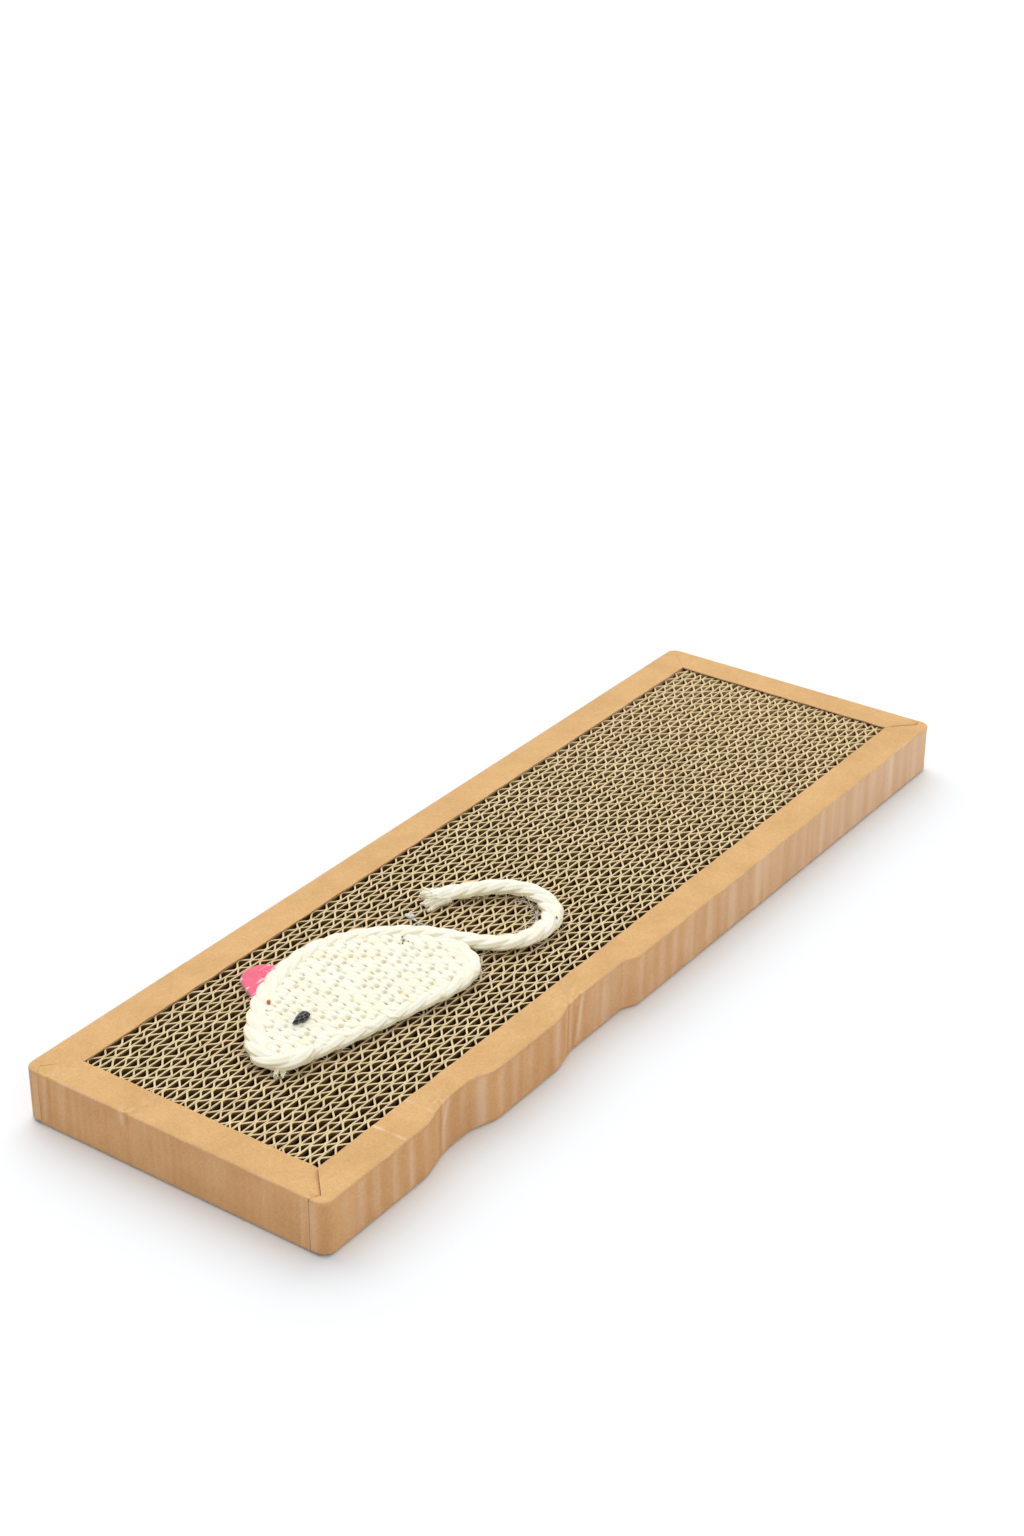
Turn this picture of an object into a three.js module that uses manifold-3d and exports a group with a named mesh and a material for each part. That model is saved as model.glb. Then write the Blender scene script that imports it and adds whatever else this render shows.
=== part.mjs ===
// Cat scratch board: strips of double-wall corrugated board set on edge and held in kraft paper
// wraps, with a crocheted cord mouse glued on top.
// Millimetres, +Z up. The origin is the middle of the underside. +X runs along the board, away
// from the end that the mouse looks to, and +Y points to the side that its ear points to.

import * as THREE from 'three';
import { mergeVertices } from 'three/addons/utils/BufferGeometryUtils.js';
import Module from 'manifold-3d';

const wasm = await Module();
wasm.setup();

// Board
const padLength = 380;
const padWidth = 121;
const padHeight = 19.7;
const cornerRadius = 4;

// Kraft paper wraps and base sheet
const paper = 0.5;
const sideFlange = 13.4;
const endFlange = 13.2;
const underFlap = 12;
const tabPastCorner = 2;
const baseInset = 5;

// Clearances: faces that lie on each other, and cut edges that meet
const glueLine = 0.1;
const seam = 0.3;

// Corrugated strips
const stripPitch = 6.1;
const crushedStrips = 2;
const fluteHeight = 3.6;
const flutePitch = 7.87;
const fluteEndMargin = 1;
const fluteShift = 0.618;

// Dents in the right wall, measured along the board from its near end
const dents = [
  { start: 46, full: 65, ease: 73, end: 87, depth: 3.5 },
  { start: 117.4, full: 132, ease: 160, end: 167, depth: 2.8 },
];
const dentSteps = 4;

// Mouse: its own origin is the middle of the body, at the board's face
const mouseFromNearEnd = 92;
const mouseFromLeftEdge = 60.5;
const bodyThickness = 5;
const bodyEdgeInset = 1.8;
const bodyEdgeRise = 1.6;
const ropeWidth = 8;
const ropeHeight = 4.4;
const backLength = 131;
const mouseClearance = 0.3;

const earStart = 45;
const earWidth = 19.5;
const earLength = 9.4;
const earThickness = 1.6;

const eyeX = -26.3;
const eyeY = 2.4;
const eyeLength = 8;
const eyeWidth = 5;
const eyeHeight = 2.6;
const eyeBevel = 0.8;
const eyeTurn = 12;

const glueX = 49.5;
const glueY = 14.5;
const glueLength = 6;
const glueWidth = 4;
const glueHeight = 1.6;

// Middle of the rope, from the nose over the head and back, then round the tail to its end
const ropePoints = [
  [-48.5, -9.5], [-46.8, -1.5], [-43.5, 5.5], [-37.5, 12], [-29, 18], [-19.5, 23.2],
  [-9, 26.8], [0.5, 28.4], [9.5, 28.4], [18, 26.4], [25.8, 22.2], [32.5, 16.8],
  [38, 10.6], [42, 4], [44.6, -3], [46.8, -10], [50, -17], [54.5, -22.2],
  [60.5, -25.3], [67.5, -26.2], [74, -25], [79.5, -21.6], [83.5, -16.5], [85.6, -10.5],
  [85.3, -4.6], [82.8, 1], [78.5, 6], [72.5, 10.4], [67, 13.7], [61.5, 16.5],
];

// Rump and belly of the body, from the end of its back round to the nose
const bellyPoints = [
  [42.1, -9.5], [42.2, -14.5], [40.2, -19.2], [35.5, -23.4], [29.5, -25.6], [23, -26],
  [15, -25], [5, -22.6], [-6, -20.2], [-20, -17], [-33, -13.4], [-42, -10.8], [-44.3, -10.4],
];

// Levels, from the floor up
const flapLow = paper + glueLine;
const flapHigh = flapLow + paper;
const stripLow = flapHigh + glueLine;
const flangeLow = padHeight - paper;
const stripHigh = flangeLow - glueLine;

// Plan sizes
const halfLength = padLength / 2;
const halfWidth = padWidth / 2;
const stripInset = paper + glueLine;
const stripHalfLength = halfLength - stripInset;
const stripRoom = halfWidth - stripInset;
const stripCount = Math.ceil((2 * stripRoom) / stripPitch);
const fullStrips = stripCount - crushedStrips;
const cornerTab = cornerRadius + tabPastCorner;
const cornerSteps = 6;
const mitreStep = cornerSteps / 2;

const kraft = { color: 0xd9a871, roughness: 0.85, metalness: 0 };
const boardColours = [0xb59a6c, 0xab9063];
const cord = { color: 0xf3ecd6, roughness: 0.9, metalness: 0 };
const felt = { color: 0xee5f92, roughness: 0.8, metalness: 0 };
const bead = { color: 0x2b2f33, roughness: 0.3, metalness: 0.1 };
const glue = { color: 0xcfcdc6, roughness: 0.25, metalness: 0 };

const board = new THREE.Group();
board.name = 'cat_scratch_board';

function addPiece(parent, name, geometry, finish) {
  const mesh = new THREE.Mesh(geometry, new THREE.MeshStandardMaterial(finish));
  mesh.name = name;
  parent.add(mesh);
  return mesh;
}

function plate(outline, low, high) {
  const shape = new THREE.Shape(outline);
  const geometry = new THREE.ExtrudeGeometry(shape, { depth: high - low, bevelEnabled: false });
  return geometry.translate(0, 0, low);
}

// Join plates into one closed solid
function join(plates) {
  const solids = plates.map((source) => {
    const bare = source.clone();
    bare.deleteAttribute('normal');
    bare.deleteAttribute('uv');
    const merged = mergeVertices(bare, 1e-5);
    return new wasm.Manifold(new wasm.Mesh({
      numProp: 3,
      vertProperties: merged.attributes.position.array,
      triVerts: Uint32Array.from(merged.index.array),
    }));
  });
  const whole = solids.reduce((sum, solid) => sum.add(solid)).getMesh();
  const geometry = new THREE.BufferGeometry();
  geometry.setAttribute('position', new THREE.BufferAttribute(whole.vertProperties, 3));
  geometry.setIndex(new THREE.BufferAttribute(whole.triVerts, 1));
  return geometry.toNonIndexed();
}

// Places along the board where a dented line bends: folds in the paper, straight in between
function dentStops() {
  const stops = [];
  for (const dent of dents) {
    for (let i = 0; i <= dentSteps; i += 1) {
      stops.push(dent.start + ((dent.full - dent.start) * i) / dentSteps);
    }
    for (let i = 0; i <= dentSteps; i += 1) {
      stops.push(dent.ease + ((dent.end - dent.ease) * i) / dentSteps);
    }
  }
  return stops.map((place) => place - halfLength);
}

const dentPlaces = dentStops();

function dentCurve(x) {
  const place = x + halfLength;
  let depth = 0;
  for (const dent of dents) {
    const rise = THREE.MathUtils.smoothstep(place, dent.start, dent.full);
    const fall = THREE.MathUtils.smoothstep(place, dent.ease, dent.end);
    depth += dent.depth * (rise - fall);
  }
  return depth;
}

// Depth of the dents at x, on the straight lines between the stops
function dentDepth(x) {
  for (let i = 1; i < dentPlaces.length; i += 1) {
    const from = dentPlaces[i - 1];
    const to = dentPlaces[i];
    if (x >= from && x <= to) {
      return THREE.MathUtils.mapLinear(x, from, to, dentCurve(from), dentCurve(to));
    }
  }
  return 0;
}

// Corner arc of the wall in the +Y half, counted in steps from the long side towards the end
function cornerArc(end, inset, steps) {
  const radius = cornerRadius - inset;
  const points = [];
  for (let i = 0; i <= steps; i += 1) {
    const angle = ((Math.PI / 2) * i) / cornerSteps;
    points.push([
      end * (halfLength - cornerRadius + radius * Math.sin(angle)),
      halfWidth - cornerRadius + radius * Math.cos(angle),
    ]);
  }
  return points;
}

// Line of a long wall from the near end to the far end, side 1 on the left and -1 on the right
function wallLine(side, inset, steps, tab) {
  const near = cornerArc(-1, inset, steps).reverse();
  const far = cornerArc(1, inset, steps);
  const middle = side < 0 ? dentPlaces.map((x) => [x, halfWidth - inset]) : [];
  const line = [...near, ...middle, ...far];
  if (tab > 0) {
    line.unshift([-halfLength + inset, halfWidth - tab]);
    line.push([halfLength - inset, halfWidth - tab]);
  }
  return line.map(([x, y]) => new THREE.Vector2(x, side * y + (side < 0 ? dentDepth(x) : 0)));
}

function sideWall(side, steps, tab, low, high) {
  const outer = wallLine(side, 0, steps, tab);
  const inner = wallLine(side, paper, steps, tab).reverse();
  return plate([...outer, ...inner], low, high);
}

// Mitred strip of paper on the long side, reaching in by its width
function sideFold(side, width, endWidth, low, high) {
  const x = halfLength - endWidth;
  const y = side * (halfWidth - width);
  const outer = wallLine(side, 0, mitreStep, 0);
  return plate([...outer, new THREE.Vector2(x, y), new THREE.Vector2(-x, y)], low, high);
}

function sideWrap(side) {
  return join([
    sideWall(side, mitreStep, 0, flapLow, padHeight),
    sideWall(side, cornerSteps, cornerTab, flapHigh + glueLine, flangeLow - glueLine),
    sideFold(side, sideFlange, endFlange, flangeLow, padHeight),
    sideFold(side, underFlap, underFlap, flapLow, flapHigh),
  ]);
}

// The same strip across an end, cut back by the seam from the side wraps' mitres
function endFold(end, width, sideWidth, low, high) {
  const cutBack = seam * Math.SQRT2;
  const corner = cornerArc(end, 0, cornerSteps).slice(mitreStep).map(([x, y], i, arc) => {
    const towardsEnd = i === 0 ? cutBack : Math.min(cutBack, arc[0][1] - y);
    return new THREE.Vector2(x, Math.min(y, arc[0][1] - towardsEnd));
  });
  const x = end * (halfLength - width);
  const y = halfWidth - sideWidth - cutBack;
  const half = [new THREE.Vector2(x, y), ...corner];
  const mirrored = half.map((point) => new THREE.Vector2(point.x, -point.y)).reverse();
  return plate([...half, ...mirrored], low, high);
}

function endWrap(end) {
  const reach = halfWidth - cornerTab - seam;
  const faces = [end * (halfLength - paper), end * halfLength];
  const wall = plate([
    new THREE.Vector2(faces[0], -reach),
    new THREE.Vector2(faces[1], -reach),
    new THREE.Vector2(faces[1], reach),
    new THREE.Vector2(faces[0], reach),
  ], flapLow, padHeight);
  return join([
    wall,
    endFold(end, endFlange, sideFlange, flangeLow, padHeight),
    endFold(end, underFlap, underFlap, flapLow, flapHigh),
  ]);
}

addPiece(board, 'left_side_wrap', sideWrap(1), kraft);
addPiece(board, 'right_side_wrap', sideWrap(-1), kraft);
addPiece(board, 'near_end_wrap', endWrap(-1), kraft);
addPiece(board, 'far_end_wrap', endWrap(1), kraft);

const baseLength = padLength - 2 * baseInset;
const baseWidth = padWidth - 2 * baseInset;
const baseSheet = new THREE.BoxGeometry(baseLength, baseWidth, paper);
addPiece(board, 'base_sheet', baseSheet.translate(0, 0, paper / 2), kraft);

// Strips. Line number i runs between strip i and strip i + 1, counted from the left wall.
// The last strips are squeezed into what the full ones leave, and follow the dents.
const lastFullLine = stripRoom - fullStrips * stripPitch;

function cornerRounding(x) {
  const radius = cornerRadius - stripInset;
  const past = Math.min(Math.max(Math.abs(x) - (halfLength - cornerRadius), 0), radius);
  return radius - Math.sqrt(radius * radius - past * past);
}

function stripLine(i, x) {
  if (i === 0) {
    return stripRoom - cornerRounding(x);
  }
  if (i === stripCount) {
    return -stripRoom + dentDepth(x) + cornerRounding(x);
  }
  if (i <= fullStrips) {
    return stripRoom - i * stripPitch;
  }
  const share = (i - fullStrips) / crushedStrips;
  return THREE.MathUtils.lerp(lastFullLine, -stripRoom + dentDepth(x), share);
}

function stripLinePlaces(i) {
  const places = [-stripHalfLength, stripHalfLength];
  if (i > fullStrips) {
    places.push(...dentPlaces);
  }
  if (i === stripCount) {
    for (const [x] of cornerArc(1, stripInset, cornerSteps - 1)) {
      places.push(x, -x);
    }
  }
  return places.sort((a, b) => a - b);
}

// One strip in plan: the small-flute wall and the liners as a bar, and the large flutes as teeth
// that reach the next strip, with open cells between them
function stripOutline(i) {
  const barShare = 1 - fluteHeight / stripPitch;
  const backY = (x) => stripLine(i + 1, x) + glueLine / 2;
  const tipY = (x) => stripLine(i, x) - glueLine / 2;
  const rootY = (x) => THREE.MathUtils.lerp(backY(x), tipY(x), barShare);
  const outline = stripLinePlaces(i + 1).map((x) => new THREE.Vector2(x, backY(x)));
  outline.push(new THREE.Vector2(stripHalfLength, rootY(stripHalfLength)));
  const phase = (((i + 1) * fluteShift) % 1) * flutePitch;
  const reach = stripHalfLength - fluteEndMargin;
  const fluteCount = Math.ceil(padLength / flutePitch);
  for (let n = fluteCount; n >= 0; n -= 1) {
    const tip = -stripHalfLength + phase + n * flutePitch;
    const root = tip - flutePitch / 2;
    if (Math.abs(tip) < reach) {
      outline.push(new THREE.Vector2(tip, tipY(tip)));
    }
    if (Math.abs(root) < reach) {
      outline.push(new THREE.Vector2(root, rootY(root)));
    }
  }
  outline.push(new THREE.Vector2(-stripHalfLength, rootY(-stripHalfLength)));
  return outline;
}

for (let i = 0; i < stripCount; i += 1) {
  const name = `strip_${String(i + 1).padStart(2, '0')}`;
  const colour = boardColours[i % boardColours.length];
  const finish = { color: colour, roughness: 0.95, metalness: 0 };
  addPiece(board, name, plate(stripOutline(i), stripLow, stripHigh), finish);
}

// Mouse, standing on the strips
const mouse = new THREE.Group();
mouse.position.set(mouseFromNearEnd - halfLength, halfWidth - mouseFromLeftEdge, stripHigh + glueLine);
board.add(mouse);

const ropeRoute = new THREE.CatmullRomCurve3(
  ropePoints.map(([x, y]) => new THREE.Vector3(x, y, ropeHeight / 2)),
);
const ropeLength = ropeRoute.getLength();
const ropeStep = 4;
const ropeSides = 10;

// Point beside the rope, at a distance along it from the nose, to its left or its right
function besideRope(along, offset) {
  const share = along / ropeLength;
  const middle = ropeRoute.getPointAt(share);
  const way = ropeRoute.getTangentAt(share);
  return new THREE.Vector2(middle.x - way.y * offset, middle.y + way.x * offset);
}

function ropeSection() {
  const points = [];
  for (let i = 0; i < ropeSides; i += 1) {
    const angle = (2 * Math.PI * i) / ropeSides;
    points.push(new THREE.Vector2(
      (ropeHeight / 2) * Math.cos(angle),
      (ropeWidth / 2) * Math.sin(angle),
    ));
  }
  return new THREE.Shape(points);
}

const ropeSolid = new THREE.ExtrudeGeometry(ropeSection(), {
  steps: Math.round(ropeLength / ropeStep),
  extrudePath: ropeRoute,
  bevelEnabled: false,
});
addPiece(mouse, 'mouse_tail_rope', ropeSolid, cord);

// The belly curve, turned and stretched so that it runs from the end of the back to the nose
function fitBelly(backEnd, nose) {
  const drawn = bellyPoints.map(([x, y]) => new THREE.Vector2(x, y));
  const drawnSpan = drawn[drawn.length - 1].clone().sub(drawn[0]);
  const span = nose.clone().sub(backEnd);
  const turn = span.angle() - drawnSpan.angle();
  const stretch = span.length() / drawnSpan.length();
  return drawn.map((point) => point.clone()
    .rotateAround(drawn[0], turn)
    .sub(drawn[0])
    .multiplyScalar(stretch)
    .add(backEnd));
}

// Body: its back follows the rope, its belly a curve of its own, and its edges are rounded
const beside = ropeWidth / 2 + mouseClearance;
const backSteps = Math.round(backLength / ropeStep);
const bodyBack = [];
for (let i = 0; i <= backSteps; i += 1) {
  bodyBack.push(besideRope((backLength * i) / backSteps, -beside));
}
const belly = new THREE.SplineCurve(fitBelly(bodyBack[backSteps], bodyBack[0]));
const bellySteps = Math.round(belly.getLength() / ropeStep);
const bodyOutline = [...bodyBack, ...belly.getSpacedPoints(bellySteps).slice(1, -1)];

const bodySolid = new THREE.ExtrudeGeometry(new THREE.Shape(bodyOutline), {
  depth: bodyThickness - 2 * bodyEdgeRise,
  bevelEnabled: true,
  bevelSize: bodyEdgeInset,
  bevelOffset: -bodyEdgeInset,
  bevelThickness: bodyEdgeRise,
  bevelSegments: 3,
});
addPiece(mouse, 'mouse_body', bodySolid.translate(0, 0, bodyEdgeRise), cord);

// Ear: a half oval of felt whose root lies along the rope
const earRoot = [];
const earSteps = 6;
for (let i = 0; i <= earSteps; i += 1) {
  earRoot.push(besideRope(earStart + (earWidth * i) / earSteps, beside));
}
const rootFrom = earRoot[0];
const rootTo = earRoot[earSteps];
const rootMiddle = rootFrom.clone().lerp(rootTo, 0.5);
const halfRoot = rootTo.clone().sub(rootMiddle);
const outward = new THREE.Vector2(-halfRoot.y, halfRoot.x).setLength(earLength);
const earTip = [];
const earTipSteps = 10;
for (let i = 1; i < earTipSteps; i += 1) {
  const angle = (Math.PI * i) / earTipSteps;
  earTip.push(rootMiddle.clone()
    .addScaledVector(halfRoot, Math.cos(angle))
    .addScaledVector(outward, Math.sin(angle)));
}
addPiece(mouse, 'mouse_ear', plate([...earRoot, ...earTip], 0, earThickness), felt);

// Eye: a drop-shaped bead with bevelled faces, its point towards the nose
function dropShape(length, width) {
  const round = width / 2;
  const shape = new THREE.Shape();
  shape.moveTo(-length / 2, 0);
  shape.lineTo(length / 2 - 1.6 * round, -0.86 * round);
  shape.absarc(length / 2 - round, 0, round, -Math.PI / 3, Math.PI / 3, false);
  shape.lineTo(length / 2 - 1.6 * round, 0.86 * round);
  return shape;
}

const eyeSolid = new THREE.ExtrudeGeometry(dropShape(eyeLength, eyeWidth), {
  depth: eyeHeight - 2 * eyeBevel,
  curveSegments: 4,
  bevelEnabled: true,
  bevelSize: eyeBevel,
  bevelOffset: -eyeBevel,
  bevelThickness: eyeBevel,
  bevelSegments: 1,
});
const eye = addPiece(mouse, 'mouse_eye', eyeSolid.translate(0, 0, eyeBevel), bead);
eye.position.set(eyeX, eyeY, bodyThickness + glueLine);
eye.rotation.z = THREE.MathUtils.degToRad(eyeTurn);

const glueSolid = new THREE.SphereGeometry(1, 12, 8);
glueSolid.rotateX(Math.PI / 2);
glueSolid.scale(glueLength / 2, glueWidth / 2, glueHeight / 2);
const glueBead = addPiece(mouse, 'glue_bead', glueSolid, glue);
glueBead.position.set(glueX, glueY, glueHeight / 2);

export default board;
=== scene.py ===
# %% [markdown]
# # A cat scratch board with a crocheted mouse
#
# The object is a flat pad. Strips of double-wall corrugated board stand on edge, side by side,
# and a frame of kraft paper is wrapped round them. A mouse of cream cord is glued on top: a
# crocheted patch, a thick twisted cord along its back that runs on as the tail, a pink felt
# ear and a dark bead for an eye.
#
# Everything here is in metres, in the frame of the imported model: X runs along the board, away
# from the end that the mouse looks to, Y points to the side of the ear, and Z points up.

import math
import random

import bmesh
import bpy
from mathutils import Matrix, Vector
from mathutils.noise import noise as noise_at


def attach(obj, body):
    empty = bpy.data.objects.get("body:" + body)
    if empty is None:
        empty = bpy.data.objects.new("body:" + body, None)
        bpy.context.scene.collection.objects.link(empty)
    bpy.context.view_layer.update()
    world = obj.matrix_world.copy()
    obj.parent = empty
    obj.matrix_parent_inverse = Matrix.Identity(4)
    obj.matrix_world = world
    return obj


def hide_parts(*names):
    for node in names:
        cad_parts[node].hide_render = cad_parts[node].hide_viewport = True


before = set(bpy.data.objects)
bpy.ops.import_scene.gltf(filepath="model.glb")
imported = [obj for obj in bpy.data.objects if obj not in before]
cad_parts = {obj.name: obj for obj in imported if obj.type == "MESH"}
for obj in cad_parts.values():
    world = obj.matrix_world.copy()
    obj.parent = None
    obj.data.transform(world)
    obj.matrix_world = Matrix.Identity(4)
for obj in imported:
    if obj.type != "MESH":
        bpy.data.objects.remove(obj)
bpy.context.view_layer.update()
print("nodes in the frame:", len(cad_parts))

# %% [markdown]
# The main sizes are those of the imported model. Each is written once, and what depends on it is
# worked out from it. The board's outer box is 380 by 121 by 19.7 mm.

# %% Sizes of the board
mm = 0.001
half_length = 190 * mm
half_width = 60.5 * mm
board_top = 19.7 * mm
corner_radius = 4 * mm
end_flange = 13.2 * mm
side_flange = 13.4 * mm
window_half_length = half_length - end_flange
window_half_width = half_width - side_flange
flap_low = 0.6 * mm
print("window:", 2 * window_half_length / mm, "by", 2 * window_half_width / mm, "mm")

# %% [markdown]
# ## Camera
#
# The photograph looks along the board from above its near end. The lens, place and turn of the
# camera come from fitting the board's eight visible corners, so the render and the photograph
# lie on each other. The turn is given by the way the camera looks and the way its top points.

# %% Make the camera
def put_in_scene(name, data):
    made = bpy.data.objects.new(name, data)
    bpy.context.scene.collection.objects.link(made)
    return made


camera_data = bpy.data.cameras.new("camera")
camera_data.sensor_width = 36
camera_data.lens = 58.88
camera_data.clip_start = 0.01
camera = put_in_scene("camera", camera_data)
looks_along = Vector((0.72356322, 0.51015581, -0.46497023)).normalized()
top_points = Vector((0.37679557, 0.27248257, 0.88531257))
right_points = looks_along.cross(top_points).normalized()
top_points = right_points.cross(looks_along)
camera.matrix_world = Matrix.Translation((-0.63296, -0.43766, 0.46641)) @ Matrix(
    (right_points, top_points, -looks_along)
).transposed().to_4x4()
bpy.context.scene.camera = camera
print("distance from camera to board:", round(camera.matrix_world.translation.length, 3), "m")

# %% [markdown]
# ## Helpers for node trees
#
# Materials and Geometry Nodes are both trees of nodes, and much of a tree is arithmetic. A Wire
# stands for one output of a node. Adding or multiplying wires makes the node that does it, so
# a formula in a tree reads like any other formula.

# %% Define the wires between nodes
class Wire:
    def __init__(self, node, output=0):
        self.node, self.output = node, output

    def __getitem__(self, output):
        return Wire(self.node, output)

    def __add__(self, other):
        return calc("ADD", self, other)

    def __sub__(self, other):
        return calc("SUBTRACT", self, other)

    def __rsub__(self, other):
        return calc("SUBTRACT", other, self)

    def __mul__(self, other):
        return calc("MULTIPLY", self, other)

    def __truediv__(self, other):
        return calc("DIVIDE", self, other)

    def __rtruediv__(self, other):
        return calc("DIVIDE", other, self)

    __radd__, __rmul__ = __add__, __mul__


def tree_of(*values):
    return next(value.node.id_data for value in values if isinstance(value, Wire))


def plug(socket, value):
    if isinstance(value, Wire):
        tree_of(value).links.new(value.node.outputs[value.output], socket)
    else:
        socket.default_value = value


def add(tree, kind, sockets=None, **settings):
    node = tree.nodes.new(kind)
    for name, value in settings.items():
        setattr(node, name, value)
    for key, value in (sockets or {}).items():
        plug(node.inputs[key], value)
    return Wire(node)


# %% Define the arithmetic of wires
def calc(operation, *values):
    return add(tree_of(*values), "ShaderNodeMath", dict(enumerate(values)), operation=operation)


def clamp(value, low=0.0, high=1.0):
    return calc("MINIMUM", calc("MAXIMUM", value, low), high)


def remap(value, low, high, first=0.0, last=1.0, **settings):
    """Turn the range from low to high into the range from first to last."""
    return add(tree_of(value), "ShaderNodeMapRange", {
        "Value": value, "From Min": low, "From Max": high, "To Min": first, "To Max": last,
    }, **settings)


def split(vector):
    parts = add(tree_of(vector), "ShaderNodeSeparateXYZ", {0: vector})
    return parts[0], parts[1], parts[2]


def combine(tree, x=0.0, y=0.0, z=0.0):
    return add(tree, "ShaderNodeCombineXYZ", {"X": x, "Y": y, "Z": z})


def noise(place, scale, detail=3.0, roughness=0.5):
    return add(tree_of(place), "ShaderNodeTexNoise", {
        "Vector": place, "Scale": scale, "Detail": detail, "Roughness": roughness,
    })


# %% [markdown]
# A pattern needs a place to read. Object coordinates stay with the piece and don't stretch, so
# paper grain and board fibres read them. A Mapping node sets the pattern's size in each
# direction, and a Color Ramp turns grey values into two or more related colours.

# %% Define the material helpers
def start_material(name):
    material = bpy.data.materials.new(name)
    material.use_nodes = True
    tree = material.node_tree
    tree.nodes.clear()
    shader = add(tree, "ShaderNodeBsdfPrincipled")
    add(tree, "ShaderNodeOutputMaterial", {"Surface": shader})
    return material, tree, shader


def on_object(tree, scale=(1, 1, 1), turn=0.0):
    return add(tree, "ShaderNodeMapping", {
        "Vector": add(tree, "ShaderNodeTexCoord")["Object"], "Scale": scale,
        "Rotation": (0, 0, math.radians(turn)),
    })


def ramp(factor, *stops):
    made = add(tree_of(factor), "ShaderNodeValToRGB", {"Fac": factor})
    elements = made.node.color_ramp.elements
    while len(elements) < len(stops):
        elements.new(0.5)
    for element, (place, colour) in zip(elements, stops):
        element.position = place
        element.color = (*colour, 1)
    return made


def blend(factor, first, second, way="MIX"):
    colours = [value if isinstance(value, Wire) else (*value, 1) for value in (first, second)]
    return add(tree_of(factor, first, second), "ShaderNodeMix", {
        0: factor, 6: colours[0], 7: colours[1],
    }, data_type="RGBA", blend_type=way)[2]


def dress(shader, sockets, *relief):
    """Fill the shader's sockets. The relief is a height, its strength and its depth."""
    if relief:
        names = ("Height", "Strength", "Distance")
        sockets["Normal"] = add(tree_of(shader), "ShaderNodeBump", dict(zip(names, relief)))
    for key, value in sockets.items():
        plug(shader.node.inputs[key], value)


# %% [markdown]
# ## Floor and light
#
# The photograph has a pure white ground with a soft grey shadow round the near and right
# sides. A plain pale floor gives both. It is a little brighter to the camera than to other
# rays, so that it doesn't throw too much light back on the paper walls. The world gives even
# light from all sides, and is plain white where the camera sees it or something mirrors it. One
# broad sun from behind the board gives the shadow its side, and a weak one from the right
# lights the long wall.

# %% Make the floor
def seen_directly(tree):
    ray = add(tree, "ShaderNodeLightPath")
    mirrored = calc("MAXIMUM", ray["Is Glossy Ray"], ray["Is Transmission Ray"])
    return calc("MAXIMUM", ray["Is Camera Ray"], mirrored)


floor_material, tree, shader = start_material("white_floor")
dress(shader, {
    "Base Color": blend(seen_directly(tree), (0.80, 0.80, 0.80), (0.945, 0.975, 1.0)),
    "Roughness": 1, "Specular IOR Level": 0,
})
reach = 6.0
floor_mesh = bpy.data.meshes.new("floor")
floor_mesh.from_pydata(
    [(-reach, -reach, 0), (reach, -reach, 0), (reach, reach, 0), (-reach, reach, 0)],
    [], [(0, 1, 2, 3)],
)
floor_mesh.materials.append(floor_material)
floor = put_in_scene("floor", floor_mesh)

# %% Make the lights
world = bpy.data.worlds.new("studio")
world.use_nodes = True
dress(Wire(world.node_tree.nodes["Background"]), {
    "Color": (1, 1, 1, 1), "Strength": seen_directly(world.node_tree) * 0.40 + 0.60,
})
bpy.context.scene.world = world


def add_sun(name, comes_from, energy, degrees):
    data = bpy.data.lights.new(name, "SUN")
    data.energy = energy
    data.angle = math.radians(degrees)
    sun = put_in_scene(name, data)
    sun.rotation_euler = (-Vector(comes_from)).to_track_quat("-Z", "Y").to_euler()


add_sun("broad_sun", (0.62, 0.66, 1.0), 1.76, 75)
add_sun("side_fill", (-0.15, -1.0, 0.8), 0.34, 60)
bpy.context.scene.view_settings.view_transform = "Standard"
print("lights:", [light.name for light in bpy.data.lights])

# %% [markdown]
# ## Corrugated board: the finish
#
# The board is plain brown paper. Its cut edges are pale and a little woolly. The paper inside
# the cells is darker, with fine fibres, and darkest at the bottom: partly the paper's own darker
# brown and partly painted shade, and the near-black at the bottom is painted shade. Towards the
# far end the cells' paper is painted paler, as painted light, since more light gets in there.
# The cut edges face up, so the material tells them by the upward part of the normal. The
# object's own Z gives the depth in the cell for the painted shade, and stretched noise draws
# the fibres.

# %% Make the corrugated board material
board_material, tree, shader = start_material("corrugated_board")
fibres = noise(on_object(tree, (1, 1, 0.35)), 1400, 4.0, 0.65)
clouds = noise(on_object(tree), 120, 2.0)
x, _, z = split(on_object(tree))
_, _, facing_up = split(add(tree, "ShaderNodeNewGeometry")["Normal"])
# Deep in the cells the paper is painted nearly black, as painted shade. Higher up it is painted
# darker than the cut edges, partly its own darker brown and partly painted shade.
deep_paper_painted_shade = ramp(fibres, (0.3, (0.050, 0.021, 0.006)), (0.7, (0.10, 0.050, 0.016)))
cell_paper_and_shade = ramp(fibres, (0.3, (0.20, 0.114, 0.038)), (0.7, (0.37, 0.23, 0.09)))
cut_edge = ramp(fibres, (0.3, (0.81, 0.61, 0.34)), (0.7, (1.0, 0.84, 0.52)))
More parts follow.
